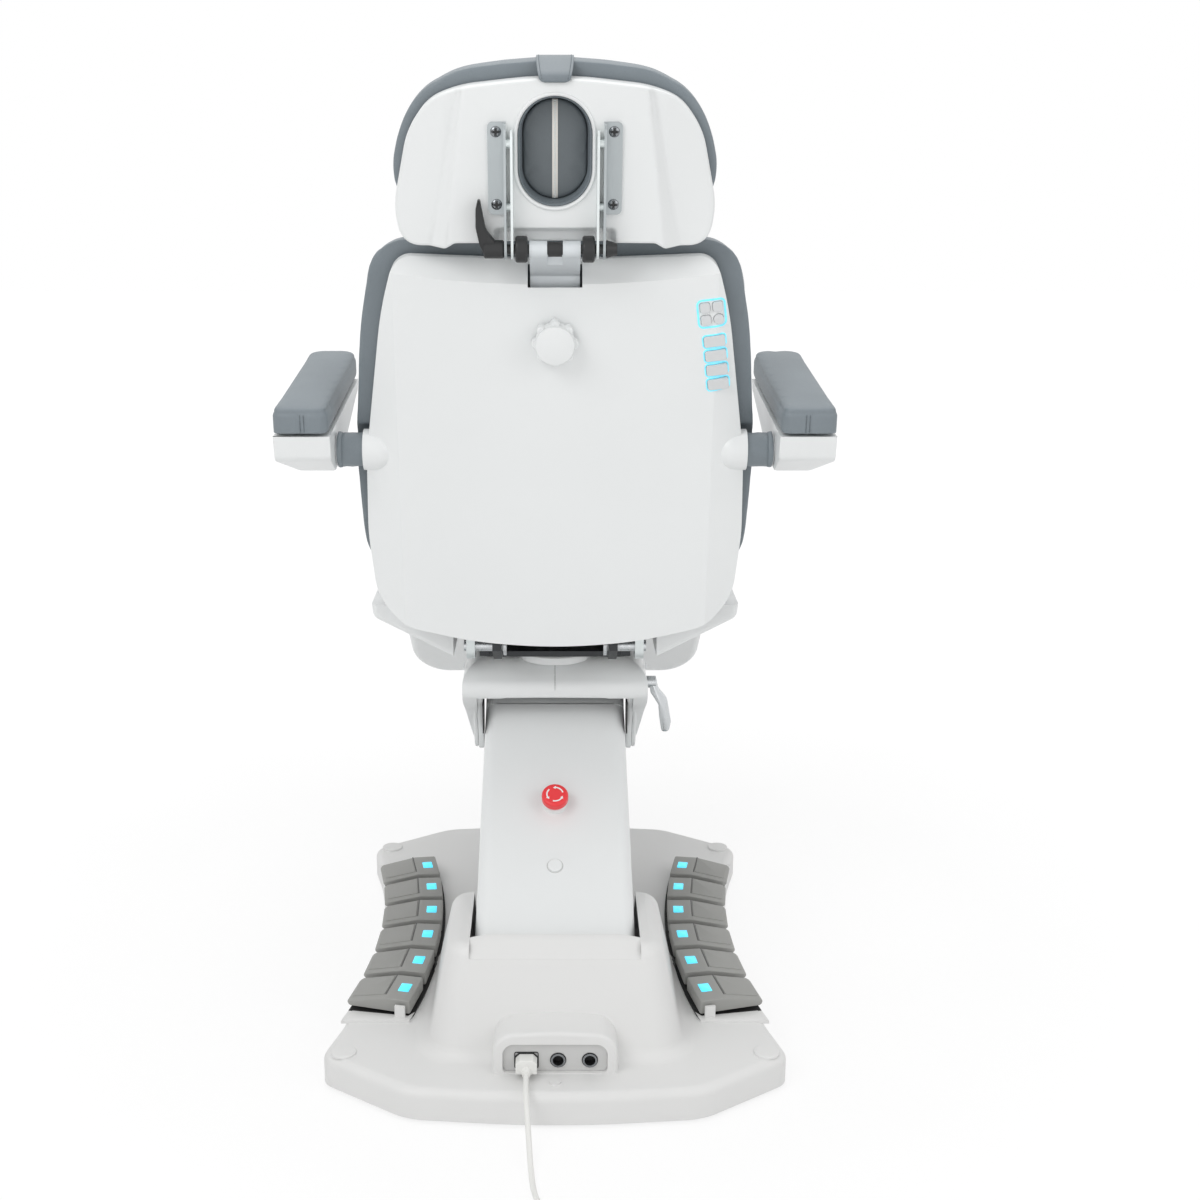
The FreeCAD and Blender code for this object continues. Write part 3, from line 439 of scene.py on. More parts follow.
CORD_R = 3.45
ROUTE = [(-36, -408, 57), (-36, -446, 57), (-32, -482, 22), (-29, -526, 3.6), (-24, -580, 3.6)]
COIL = Vector((32, -662.6, 10))
COIL_R = 38
TURNS = [(-6.9, 0), (-3.45, -5.98), (-3.45, 5.98), (0, 0), (3.45, 5.98), (3.45, -5.98), (6.9, 0)]
POINTS_PER_TURN = 16


def coil_points():
    """Seven turns lying beside and on each other, each easing over to the next."""
    made = []
    total = len(TURNS) * POINTS_PER_TURN + POINTS_PER_TURN // 4
    for k in range(total + 1):
        turn = min(k // POINTS_PER_TURN, len(TURNS) - 1)
        after = min(turn + 1, len(TURNS) - 1)
        share = max(0.0, (k % POINTS_PER_TURN) / POINTS_PER_TURN * 2 - 1) if turn < after else 0.0
        share = share * share * (3 - 2 * share)
        out = TURNS[turn][0] * (1 - share) + TURNS[after][0] * share
        up = TURNS[turn][1] * (1 - share) + TURNS[after][1] * share
        angle = math.pi + 2 * math.pi * k / POINTS_PER_TURN
        reach = COIL_R + out
        made.append(COIL + Vector((reach * math.cos(angle), reach * math.sin(angle), up)))
    return made


def cord_curve(points):
    curve = bpy.data.curves.new("mains_lead", "CURVE")
    curve.dimensions = "3D"
    spline = curve.splines.new("NURBS")
    spline.points.add(len(points) - 1)
    for slot, p in zip(spline.points, points):
        slot.co = (*(BASE @ Vector(p)), 1)
    spline.order_u = 3
    spline.use_endpoint_u = True
    spline.resolution_u = 6
    curve.bevel_depth = CORD_R * MM
    curve.bevel_resolution = 4
    curve.use_fill_caps = True
    curve.materials.append(CORD_WHITE)
    return linked("mains_lead", curve)


turns = coil_points()
last = turns[-1]
tail = [last + Vector((15, 0, 0.8)), last + Vector((30, 0, 3)), last + Vector((44, 0, 4))]
lead_points = [Vector(p) for p in ROUTE] + [Vector((-9, -625, 4))] + turns + tail
lead = cord_curve(lead_points)
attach(lead, "base")
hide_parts("mains_cord", "mains_cord_coil")
tie_ring = [(13.5 * u, 11.5 * v) for u, v in circle(1, 28)]
tie_inner = [(x * 0.9, z * 0.9) for x, z in tie_ring]
tie_levels = ((tie_inner, -4), (tie_ring, -3.6), (tie_ring, 3.6), (tie_inner, 4))
tie_shape = skin(bmesh.new(), [[(x, y, z) for x, z in line] for line, y in tie_levels], caps=False)
tie = piece("cord_tie", tie_shape, BASE @ moved(COIL.x + COIL_R, COIL.y, COIL.z + 1.6), "base", BLACK)


# CAD nodes that stay: their materials, and regions with another one

SOCKET_Z = 62  # height of the inlet and the jacks
PANEL_Y = -380  # face of the socket panel
INLET_X = -36
JACKS_X = (4, 44)
SWIVEL_Y = 141  # axis of the turntable
KEYS = ["button_memory_1", "button_memory_2", "button_light", "button_power",
        "button_height", "button_back", "button_tilt", "button_leg"]


def off_jack(p):
    """Distance from the axis of the nearer jack."""
    return min(math.hypot(p.x - x, p.z - SOCKET_Z) for x in JACKS_X)


def near_hinge(p):
    return math.hypot(p.y - BACK_PIN[0], p.z - BACK_PIN[1]) < 27


dress(BASE_WHITE, "base_cover", "socket_surround")
dress(DARK_STEEL, "base_chassis", "arm_beam", "levelling_link", "yoke_frame", "seat_frame", "back_frame")
dress(RUBBER, "levelling_feet")
dress(PANEL_GREY, "socket_panel", "turntable")
dress(BRIGHT_STEEL, "lift_rod", "arm_pivot_pins", "back_hinge_pins")
dress(CORD_WHITE, "mains_connector", "mains_wall_plug")
dress(WHITE, "arm_cover", "yoke_covers", "seat_shell", "legrest_frame", "back_shell")
dress(RED, "e_stop_head")
dress(KEY_GREY, *KEYS)
dress(PALE_CAST, "headrest_stem")
dress(ZINC, "headrest_arms")
dress(BLACK, "headrest_rollers")
paint("socket_panel", SCREW_STEEL, lambda p: off_jack(p) < 9.3)
paint("socket_panel", BLACK, lambda p: off_jack(p) < 7.2 and p.y > PANEL_Y - 1.5)
paint("socket_panel", BLACK, lambda p: abs(p.x - INLET_X) < 14.5 and abs(p.z - SOCKET_Z) < 10.5)
paint("headrest_arms", BRACKET, lambda p: abs(p.x) > 58.2)
paint("seat_frame", ZINC, near_hinge)
paint("back_frame", ZINC, near_hinge)
paint("turntable", DARK_STEEL, lambda p: p.z > 477.2 or p.z < 468 or math.hypot(p.x, p.y - SWIVEL_Y) < 60)
paint("mains_wall_plug", CHROME, lambda p: p.x > 113.5)


# Pedals: six each side along an arc, each a stepped tread with a dark strip at its fold as painted shade of a
# groove and a lit window; posts between them, dark grey as painted shade

PEDAL_X = 169  # inner ends of the middle pedals
PEDAL_ARC = 1120  # radius of the arc through the inner ends
PEDAL_PITCH = 83.7
PEDAL_LENGTH = 89
PEDAL_COUNT = 6
FOLD = 34  # from the inner end to where the tread starts to slope
TREAD = [(38, -23, 1.5), (85, -22, 4), (85, 28.5, 4), (38, 30, 1.5)]
# Outline of the dark strip at the fold, painted shade standing for a groove
GROOVE_SHADE = [(35.4, -23), (37, -23), (37, 34), (35.4, 34)]
POST = [(4, 46, 0), (18, 46, 0), (18, 64, 5), (4, 64, 5)]
STATIONS = ((0, 2.2), (0.6, 0.8), (2.2, 0), (12, 0), (30, 0), (FOLD, 0), (38, 0), (60, 0), (84, 0), (87, 1.6),
            (PEDAL_LENGTH, 4))  # distance from the inner end, and how far the section is drawn in there


def pedal_frame(side, k):
    """Place of a pedal: x from the chair's middle outwards, y along the arc."""
    turn = (k - 2.5) * PEDAL_PITCH / PEDAL_ARC
    centre = moved(PEDAL_X + PEDAL_ARC, 0, 0)
    mirror = Matrix.Scale(-1, 4, (1, 0, 0)) if side == "left" else Matrix.Identity(4)
    return BASE @ mirror @ centre @ Matrix.Rotation(-turn, 4, "Z") @ centre.inverted()


def outwards(points):
    """Moves points that are counted from a pedal's inner end to their place."""
    return [(PEDAL_X + p[0], *p[1:]) for p in points]


def in_tray(p):
    """Tray under the pedals and the posts that carry their pins."""
    out = PEDAL_X + PEDAL_ARC - abs(p.x)
    swept = abs(math.atan2(p.y, out)) * PEDAL_ARC
    return p.z > 45.3 and PEDAL_ARC - 100 < math.hypot(out, p.y) < PEDAL_ARC + 4.2 and swept < 246


def pedal_top(u):
    return 69.5 + u / FOLD if u < FOLD else 70.5 - (u - FOLD) * 9.5 / (PEDAL_LENGTH - FOLD)


def pedal_shape():
    """Flat inner part and sloping tread, u from the inner end outwards."""
    rings = []
    for u, draw in STATIONS:
        half = 35 * (1 - u / PEDAL_ARC) - draw
        top, bottom = pedal_top(u) - 0.6 * draw, 50.5 + 3.5 * u / PEDAL_LENGTH + 0.4 * draw
        corners = [(-half, bottom, 1), (half, bottom, 1), (half, top, 2), (-half, top, 2)]
        rings.append([(PEDAL_X + u, y, z) for y, z in cornered(corners, 3)])
    tread = slab(cornered(outwards(TREAD)), -2.0, 1.3, 0.7, lift=lambda x, y: pedal_top(x - PEDAL_X))
    return merged(skin(bmesh.new(), rings), tread)


# The CAD posts between the pedals are painted dark grey as painted shade of the gaps; the end posts past the
# last pedals keep the base's white
paint("base_cover", PEDAL_PAINTED_SHADE, lambda p: in_tray(p) and p.z > 48.5)
# The tray under the pedals is painted black as painted shade beneath them; the tray_ends plates keep it white
# past the last pedals
paint("base_cover", RUBBER, lambda p: in_tray(p) and p.z <= 48.5)
# Posts between neighbouring pedals, dark grey as painted shade of the gaps between them
posts = []
for side, _ in SIDES:
    for k in range(PEDAL_COUNT):
        body = "pedal_%s_%d" % (side, k + 1)
        where = pedal_frame(side, k)
        window = slab([(x + PEDAL_X + 16, y) for x, y in rounded(15, 22, 1.4)], 69.0, 70.5, 0.3)
        piece(body + "_window", window, where, body, CYAN)
        made = piece(body + "_tread", pedal_shape(), where, body, PEDAL_GREY)
        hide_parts(body)
        # Dark strip at the fold, painted shade standing for a groove
        groove_shade = slab(outwards(GROOVE_SHADE), 69.2, 70.62, 0.2)
        piece(body + "_groove_shade", groove_shade, where, body, PEDAL_PAINTED_SHADE)
        if k:
            post = plate(cornered(outwards(POST)), -4, 4, 0.8)
            posts.append(turned_to(post, pedal_frame(side, k - 0.5) @ UPRIGHT))
piece("pedal_posts", merged(*posts), Matrix.Identity(4), "base", PEDAL_PAINTED_SHADE)


def tray_end(across, along):
    """Thin plate over the corner of the tray past the last pedal."""
    centre = PEDAL_X + PEDAL_ARC
    turn = 2.5 * PEDAL_PITCH / PEDAL_ARC
    half = 36  # from the last pedal's middle to its edge
    end = 255.9  # from the chair's middle to the tray's end
    near, far = [], []
    for reach in (1123.5, 1102, 1080, 1060, 1040):
        near.append((centre - reach * math.cos(turn) + half * math.sin(turn),
                     -reach * math.sin(turn) - half * math.cos(turn)))
        far.append((centre - math.sqrt(reach ** 2 - end ** 2), -end))
    line = [(across * x, along * y) for x, y in near + far[::-1]]
    return line[::-1] if across * along > 0 else line


ends = bmesh.new()
for across in (-1, 1):
    for along in (-1, 1):
        slab(tray_end(across, along), 47.5, 48.5, 0.3, ends)
piece("tray_ends", ends, BASE, "base", BASE_WHITE)


# Socket panel: black gaskets round the inlet and the jacks

gaskets = bmesh.new()
bands = ((9.25, 0), (10.3, 0), (10.3, 0.5), (9.9, 0.7), (9.25, 0.7))
for x in JACKS_X:
    lines = [([(x + u, SOCKET_Z + v) for u, v in circle(size, 48)], h) for size, h in bands]
    skin(gaskets, [[(u, PANEL_Y - h, v) for u, v in line] for line, h in lines], caps=False)
bands = ((1.1, 0), (0, 0), (0, 0.8), (0.4, 1.0), (1.1, 1.0))
lines = [([(INLET_X + u, SOCKET_Z + v) for u, v in inset(rounded(31, 23, 3), size)], h) for size, h in bands]
skin(gaskets, [[(u, PANEL_Y - h, v) for u, v in line] for line, h in lines], caps=False)
piece("socket_gaskets", gaskets, BASE, "base", BLACK)


# Lifting arm: release arrows on the stop button, thin seam round the cap

def arc_arrow(start, sweep, radius, width):
    """Flat curved arrow about local +Z."""
    def at(reach, angle):
        return reach * math.cos(angle), reach * math.sin(angle)

    steps = 14
    angles = [start + sweep * k / steps for k in range(steps + 1)]
    outer = [at(radius + width / 2, a) for a in angles]
    inner = [at(radius - width / 2, a) for a in reversed(angles)]
    end, tip = start + sweep, start + sweep * 1.28
    return outer + [at(radius + width * 1.3, end), at(radius, tip), at(radius - width * 1.3, end)] + inner


arrows = bmesh.new()
for k in range(3):
    points = arc_arrow(math.radians(120 * k + 15), math.radians(70), 11.2, 1.9)
    skin(arrows, [[(x, y, h) for x, y in points] for h in (0.0, 0.35)])
piece("stop_arrows", arrows, ARM @ moved(0, 229, 66.4), "e_stop", MARK_WHITE)
cap_seam = lathe([(10.0, 0), (10.5, 0.35), (11.0, 0.35), (11.3, 0)], 48)
piece("arm_cap_seam", cap_seam, ARM @ moved(0, 129, 41.95), "lift_arm", PANEL_GREY)


# Yoke: screw caps on its sides, black strips inside them as painted shade of the gap beside the arm, screw in
# the brake lever's hub

BRAKE_AXIS = (95, 412)  # y and z
OUT = {"left": "-X", "right": "+X"}
IN = {"left": "+X", "right": "-X"}
for side, sign in SIDES:
    for n, (y, z) in enumerate(((60, 448), (52, 424), (60, 402))):
        piece("yoke_screw_%s_%d" % (side, n + 1), screw(4.6, 1.6),
              BASE @ moved(sign * 132.6, y, z) @ facing(OUT[side]), "yoke", BRIGHT_STEEL)
    # Black strip on each cheek's inner face, painted shade of the narrow gap beside the arm
    piece("yoke_gap_shade_" + side, slab(rounded(46, 30, 5), 0, 1.7, 0.4),
          BASE @ moved(sign * 104.9, 36, 378) @ facing(IN[side]), "yoke", BLACK)
piece("brake_screw", screw(5.2, 2.2), BASE @ moved(149.8, *BRAKE_AXIS) @ facing("+X"), "brake_lever", CHROME)


# Back: lit rims round the keys, sleeves on the armrest tubes

KEY_X, KEY_Z = 196, 494  # middle of the four small keys
KEY_TURN = math.radians(7)
WIDE_KEY_PITCH = 18.7


def shell_rear(x):
    """Depth of the back shell's rear face: flat in the middle, turned away at the sides."""
    return -65 + max(0.0, abs(x) - 203) * 19 / 49


def on_keys(u, v, x=KEY_X, z=KEY_Z):
    """Place of a point in the keys' own turned directions."""
    c, s = math.cos(KEY_TURN), math.sin(KEY_TURN)
    return x + u * c - v * s, z + u * s + v * c


def even(points):
    """Same number of points on every edge, so that two outlines match."""
    made = []
    for a, b in zip(points, points[1:] + points[:1]):
        made += [tuple(Vector(a).lerp(Vector(b), k / 8)) for k in range(8)]
    return made


def lit_rim(x, z, width, height, radius, thick):
    """Glowing band round one key, or round the four small ones."""
    grown = rounded(width + 2 * thick, height + 2 * thick, radius + thick)
    outer = [on_keys(u, v, x, z) for u, v in even(grown)]
    inner = [on_keys(u, v, x, z) for u, v in even(rounded(width, height, radius))]
    levels = ((outer, 0.1), (outer, -0.5), (inner, -0.7), (inner, 0.3))
    rings = [[(px, shell_rear(px) + depth, pz) for px, pz in line] for line, depth in levels]
    return skin(bmesh.new(), rings, caps=False)


piece("keys_lit_rim", lit_rim(KEY_X, KEY_Z, 32.5, 32.5, 5, 2.2), BACK, "back", CYAN_RIM)
for k in range(4):
    rim = lit_rim(*on_keys(0.4, -36 - k * WIDE_KEY_PITCH), 28, 15, 3.6, 1.5)
    piece("key_lit_rim_%d" % (k + 1), rim, BACK, "back", CYAN_RIM)


# The sleeve is soft, with a turned hem at its outer end
SLEEVE = [(15.6, 246), (21.4, 246), (22.2, 250), (22.0, 258), (22.4, 266), (22.1, 273), (22.3, 276.5),
          (21.7, 277.3), (22.8, 278.2), (23.6, 281), (23.2, 283.4), (21.5, 284), (15.6, 284)]
WASHER = [(15.3, 0), (19, 0), (19.4, 0.4), (19.4, 1.2), (19, 1.5), (15.3, 1.5)]
for side, sign in SIDES:
    shape = lathe(SLEEVE, 56)
    for v in shape.verts:
        angle = math.atan2(v.co.y, v.co.x)
        if math.hypot(v.co.x, v.co.y) > 18:
            ripple = 0.35 * math.sin(3 * angle + v.co.z * 0.35) + 0.25 * math.sin(7 * angle - v.co.z * 0.2)
            v.co.x *= 1 + ripple / 22
            v.co.y *= 1 + ripple / 22
    piece("armrest_sleeve_" + side, shape, BACK @ moved(*ARMREST_PIN) @ facing(OUT[side]), "back", LEATHER,
          60)
    piece("armrest_washer_" + side, lathe(WASHER),
          BACK @ moved(sign * 284.2, *ARMREST_PIN[1:]) @ facing(OUT[side]), "back", CHROME)


# Headrest: bracket screws, leather wall of the breathing hole, strap over the top

CROSS = [(0.9, 0.9), (0.9, 3.6), (-0.9, 3.6), (-0.9, 0.9), (-3.6, 0.9), (-3.6, -0.9),
         (-0.9, -0.9), (-0.9, -3.6), (0.9, -3.6), (0.9, -0.9), (3.6, -0.9), (3.6, 0.9)]
BRACKET_X = 70
BRACKET_REAR = -91.4
crosses = bmesh.new()
for side, sign in SIDES:
    for n, z in enumerate((719, 634)):
        x = sign * BRACKET_X
        piece("bracket_screw_%s_%d" % (side, n + 1), screw(6.6, 3),
              BACK @ moved(x, BRACKET_REAR, z) @ UPRIGHT, "headrest", SCREW_STEEL)
        skin(crosses, [[(x + u, BRACKET_REAR - h, z + v) for u, v in CROSS] for h in (0.9, 1.65)])
piece("bracket_screw_crosses", crosses, BACK, "headrest", BLACK)

HOLE_Z = 695  # middle of the breathing hole
HOLE = [(x, HOLE_Z + z) for x, z in rounded(89, 129, 44.4, 14)]
levels = [(0.3, -50), (0.3, -84), (0.6, -86.6), (1.5, -87.4), (2.3, -86.4), (2.6, -83), (4.4, -68), (7.6, -50)]
lining = skin(bmesh.new(), [[(x, y, z) for x, z in inset(HOLE, amount)] for amount, y in levels], caps=False)
piece("hole_lining", lining, BACK, "headrest", LEATHER, 60)
lining_thread = bmesh.new()
seam = [Vector((x, -79, z)) for x, z in inset(HOLE, 3.05)]
for a, b in zip(seam, seam[1:] + seam[:1]):
    dashes(lining_thread, a, b, 4.2, 0.42)
piece("hole_stitches", lining_thread, BACK, "headrest", THREAD, 80)


def strap_rings(path, thick):
    """Rounded band along (y, z, width) stations."""
    rings = []
    for i, (y, z, width) in enumerate(path):
        before = path[max(i - 1, 0)]
        after = path[min(i + 1, len(path) - 1)]
        ahead = Vector((after[0] - before[0], after[1] - before[1])).normalized()
        out = Vector((ahead.y, -ahead.x)) * -1
        ring = []
        for u, w in rounded(width, thick, thick * 0.45, 3):
            bow = 0.6 * (1 - (2 * u / width) ** 2)
            ring.append((u, y + out.x * (w + bow), z + out.y * (w + bow)))
        rings.append(ring)
    return rings


STRAP = [(-90.6, 775, 25), (-90.8, 776, 32), (-91, 777.6, 36), (-90.2, 780.4, 38), (-87, 783, 39.5),
         (-80, 785.4, 41), (-70, 788, 42.5), (-58, 791.4, 44), (-46, 794.4, 45), (-32, 796.4, 45.5),
         (-16, 796.2, 45.5), (-4, 793, 45.5), (4.5, 786.5, 45), (9.5, 776, 44), (10.6, 766, 43),
         (10.7, 756, 41), (10.5, 753, 34), (10.3, 752, 24)]
strap = skin(bmesh.new(), strap_rings(STRAP, 2.4))
piece("headrest_strap", strap, BACK, "headrest", LEATHER, 60)
strap_thread = bmesh.new()
for sign in (-1, 1):
    edge = [(sign * (width / 2 - 3.2), y, z) for y, z, width in STRAP[2:-2]]
    for a, b in zip(edge, edge[1:]):
        a, b = Vector(a), Vector(b)
        out = Vector((0, -(b - a).z, (b - a).y)).normalized() * 1.35
        dashes(strap_thread, a + out, b + out, 4, 0.4)
piece("strap_stitches", strap_thread, BACK, "headrest", THREAD, 80)


# Lifting arm and yoke: end of the arm's cover; the yoke's cheeks, skirts, apron and half ring

def arm_lip():
    """Last stretch of the arm's cover, open underneath and cut back below."""
    half, wall, top = 101.5, 4, 42
    rings = []
    for y, draw in ((403, 0), (422.6, 0), (423.6, 0.4), (424, 1.2)):
        low = 10 - (425 - y) * 66 / 39
        lines = []
        for side, up, radius in ((half - draw, top - draw, 16), (half - wall, top - wall, 12)):
            line = cornered([(-side, low, 0), (side, low, 0), (side, up, radius), (-side, up, radius)])
            lines.append(line[1:] + line[:1])
        rings.append([(x, y, z) for x, z in lines[0] + lines[1][::-1]])
    return skin(bmesh.new(), rings)


piece("arm_cover_lip", arm_lip(), ARM, "lift_arm", WHITE)
CHEEK = [(13, 427, 4), (38, 389, 40), (74, 313, 36), (100, 311, 3), (100, 427, 3)]
SKIRT = [(30, 400, 4), (38, 389, 40), (74, 312, 40), (168, 312, 50), (252, 343, 30), (252, 400, 4)]
for side, sign in SIDES:
    for name, corners, span in (("cheek", CHEEK, (105, 113.4)), ("skirt", SKIRT, (113.2, 119.4))):
        low, high = sorted(sign * x for x in span)
        shape = turned_to(plate(cornered(corners), low, high, 2.4), SIDEWAYS)
        piece("yoke_%s_%s" % (name, side), shape, BASE, "yoke", WHITE)

APRON = [(6, 428), (5.4, 421), (7.8, 416), (11, 413.8), (24, 413.4), (24, 428)]
APRON_LOW = ((-106, 0), (-60, 0), (0, 414.4), (60, 0), (106, 0))  # the middle is drawn up a little
rings = [[(x, y, max(z, low)) for y, z in APRON] for x, low in APRON_LOW]
piece("yoke_apron", skin(bmesh.new(), rings), BASE, "yoke", WHITE)


def ring_outline():
    """Half ring on the yoke's top, hollowed for the turntable."""
    middle, hollow = 68, 70.5
    outer = [(x, middle + y) for x, y in circle(54, 120)]
    outer = [p for p in outer if math.hypot(p[0], p[1] - SWIVEL_Y) > hollow]
    outer.sort(key=lambda p: math.atan2(p[0], middle - p[1]))
    reach = math.atan2(outer[-1][0], SWIVEL_Y - outer[-1][1])
    angles = [reach * (1 - k / 12) for k in range(1, 24)]
    return outer + [(hollow * math.sin(a), SWIVEL_Y - hollow * math.cos(a)) for a in angles]


piece("yoke_ring", slab(ring_outline(), 462, 472.5, 3), BASE, "yoke", WHITE)


# Tower: raised lip behind the arm's foot

LIP = [(-311.6, 165), (-303, 172), (-291, 182.5), (-286, 186.4), (-282, 187.4), (-280.4, 186), (-281.8, 166.5),
       (-290, 160), (-306, 160)]
# At each distance from the middle: how far the top drops and the rear face sinks in
LIP_HALF = ((122, 9, 5), (112, 5.4, 0.8), (104, 3.6, 0), (84, 0, 0))
rings = []
for x, drop, sink in [(-x, d, s) for x, d, s in LIP_HALF] + [(0, 0, 0)] + list(LIP_HALF[::-1]):
    rings.append([(x, y + sink * (y < -290), z - drop * max(0.0, (z - 165) / 22)) for y, z in LIP])
piece("tower_lip", skin(bmesh.new(), rings), BASE, "base", BASE_WHITE, 30)


# Levers and knob

BRAKE = [(139, 418, 3), (150, 418, 3), (154, 402, 10), (167, 386, 12), (173, 352, 9), (170, 336, 6),
         (159, 336, 5), (156, 356, 9), (154, 378, 12), (142, 397, 8)]
paddle = turned_to(plate(cornered(BRAKE), -103, -87, 2.4), UPRIGHT)
hub = turned_to(lathe([(5, 116), (5, 133.6), (8.2, 133.6), (9, 134.4), (9, 149.2), (8.2, 150)]),
                moved(0, *BRAKE_AXIS) @ facing("+X"))
brake = piece("swivel_brake_paddle", merged(paddle, hub), BASE, "brake_lever", BRIGHT_STEEL)
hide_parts("swivel_brake_lever")

CLAMP_AXIS = (-100, 582)  # y and z in the back's frame
CLAMP = [(-72, 573, 4), (-84, 573, 5), (-91, 588, 12), (-95.5, 609, 26), (-95, 631, 12), (-92.5, 641.5, 1),
         (-89.5, 640.5, 1), (-86.5, 623, 14), (-83, 605, 20), (-72, 592, 6)]
handle = turned_to(plate(cornered(CLAMP), 93, 107, 2.2), UPRIGHT)
hub = turned_to(lathe([(9.6, 61.6), (11, 63), (11, 84.6), (9.6, 86)]), moved(0, *CLAMP_AXIS) @ facing("-X"))
clamp = piece("headrest_clamp_handle", merged(handle, hub), BACK, "headrest_clamp", BLACK)
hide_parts("headrest_clamp_lever")


KNOB_Z = 459  # knob's axis, in the back's frame
KNOB_STEPS = 96


def lobed(scale):
    """Outline of the knob: a disc with eight finger lobes."""
    disc, spread_at, lobe = 25.0, 23, 6.4
    points = []
    for k in range(KNOB_STEPS):
        angle = 2 * math.pi * k / KNOB_STEPS
        off = (angle + math.pi / 8) % (math.pi / 4) - math.pi / 8
        aside = spread_at * math.sin(off)
        reach = disc
        if abs(aside) < lobe:
            reach = max(disc, spread_at * math.cos(off) + math.sqrt(lobe ** 2 - aside ** 2))
        points.append((scale * reach * math.cos(angle), scale * reach * math.sin(angle)))
    return points


levels = [(circle(r, KNOB_STEPS), h) for r, h in ((6, 53), (6, 68))]
levels += [(lobed(scale), h) for scale, h in ((0.95, 68), (1, 69.2), (1, 82.8), (0.95, 84))]
levels += [(circle(r, KNOB_STEPS), h) for r, h in ((24.6, 84), (24.6, 90), (24, 91.4), (22.6, 92))]
shape = skin(bmesh.new(), [[(x, y, h) for x, y in ring] for ring, h in levels])
knob = piece("headrest_knob_grip", shape, BACK @ moved(0, 0, KNOB_Z) @ UPRIGHT, "headrest_knob", WHITE)
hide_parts("headrest_knob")


# Armrest housings with a long chamfer below

CASE = cornered([(-64, 34, 0), (-60, 2, 14), (-12, -26, 16), (50, -27, 14), (252, 18, 12), (262, 34, 0)])


def housing(sign):
    """Case drawn from its side, one ring across for each point of the outline."""
    start = CASE.index((-64, 34))
    rings = []
    for y, z in CASE[start:] + CASE[:start]:
        z = min(z, 33.6)
        turn = min(357.4, 308 + (z + 50) * 50 / 48)
        ring = [(286, 34), (286, min(z + 4, 33.8)), (287.2, min(z + 1.2, 33.7)), (290, z), (turn - 2, z)]
        ring += [(turn, z + 0.3), (356.5, max(z + 0.5, -4)), (358, max(z + 1.2, -0.6)), (358, 34)]
        rings.append([(sign * x, y, h) for x, h in ring])
    return skin(bmesh.new(), rings)


for side, sign in SIDES:
    made = piece("armrest_case_" + side, housing(sign), REST, "armrest_" + side, WHITE)
    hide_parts("armrest_housing_" + side)


# Headrest shell: raised middle flaring downwards, side wings set forward, rim round the hole

HEAD_OUTLINE = cornered(both_sides([
    (0, 587, 0), (122, 586, 6), (134, 579, 8), (187, 579, 32), (197, 625, 200),
    (177, 718, 100), (150, 754.5, 60), (112, 768.5, 150), (0, 781, 500)]), 10)
HEAD_STEPS = 288


def spaced(points, count):
    """Closed outline as evenly spaced points that start at the bottom middle."""
    line = [Vector(p) for p in points]
    first = min(range(len(line)), key=lambda i: (line[i].y > HOLE_Z, abs(line[i].x), line[i].y))
    line = line[first:] + line[:first + 1]
    lengths = [(b - a).length for a, b in zip(line, line[1:])]
    whole = sum(lengths)
    made, i, done = [], 0, 0.0
    for k in range(count):
        want = whole * k / count
        while done + lengths[i] < want:
            done += lengths[i]
            i += 1
        made.append(tuple(line[i].lerp(line[i + 1], (want - done) / max(lengths[i], 1e-9))))
    return made


def mix(low, high, z):
    """Value between one at the shell's foot and one above its top."""
    return low + (high - low) * (z - 540) / 280


def head_rear(x, z):
    """Depth of the shell's rear face, stepped forward behind the rollers."""
    x = abs(x)
    crease, rear = mix(152, 124, z), -88 + mix(22, 5, z)
    wing = rear if x < crease else rear + (x - crease) * (-64 - rear) / (201 - crease)
    low, high = mix(138, 104, z), mix(162, 116, z)
    bulge = -88 + 22 * max(0.0, x - low) / (high - low)
    rear = min(wing, bulge, -53)
    step = min(1.0, max(0.0, (606 - z) / 7)) * min(1.0, max(0.0, (74 - x) / 6))
    return rear + 10 * step * step * (3 - 2 * step)


def head_shell():
    """Shell from its front edge over the rear face to the rim of the hole."""
    front, steps = -52, 44

    def rear(line, off=0.0):
        return [(x, head_rear(x, z) + off, z) for x, z in line]

    def flat(line, y):
        return [(x, y, z) for x, z in line]

    edge = spaced(HEAD_OUTLINE, HEAD_STEPS)
    hole = spaced(HOLE, HEAD_STEPS)
    rim = inset(hole, -4.5)
    start = inset(edge, 2.4)
    rings = [rear(inset(edge, 4), 4), flat(inset(edge, 4), front), flat(edge, front), rear(edge, 3)]
    rings += [rear(inset(edge, 0.8), 0.9), rear(start)]
    for k in range(1, steps + 1):
        rings.append(rear([tuple(Vector(a).lerp(Vector(b), k / steps)) for a, b in zip(start, rim)]))
    rings.append(flat(rim, -89))
    rings += [flat(inset(rim, amount), y) for amount, y in ((0.7, -90.4), (2, -91), (3.4, -90.6))]
    rings += [flat(hole, -89), flat(hole, front)]
    return skin(bmesh.new(), rings, caps=False)


shell = piece("headrest_shell_form", head_shell(), BACK, "headrest", WHITE, 50)
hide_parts("headrest_shell")


# Soft pads

CLOTH = {"use_pressure": True, "uniform_pressure_force": 4.0, "vertex_group_mass": "held", "quality": 5,
         "tension_stiffness": 25, "compression_stiffness": 25, "bending_stiffness": 4}
SIM_FRAMES = 20


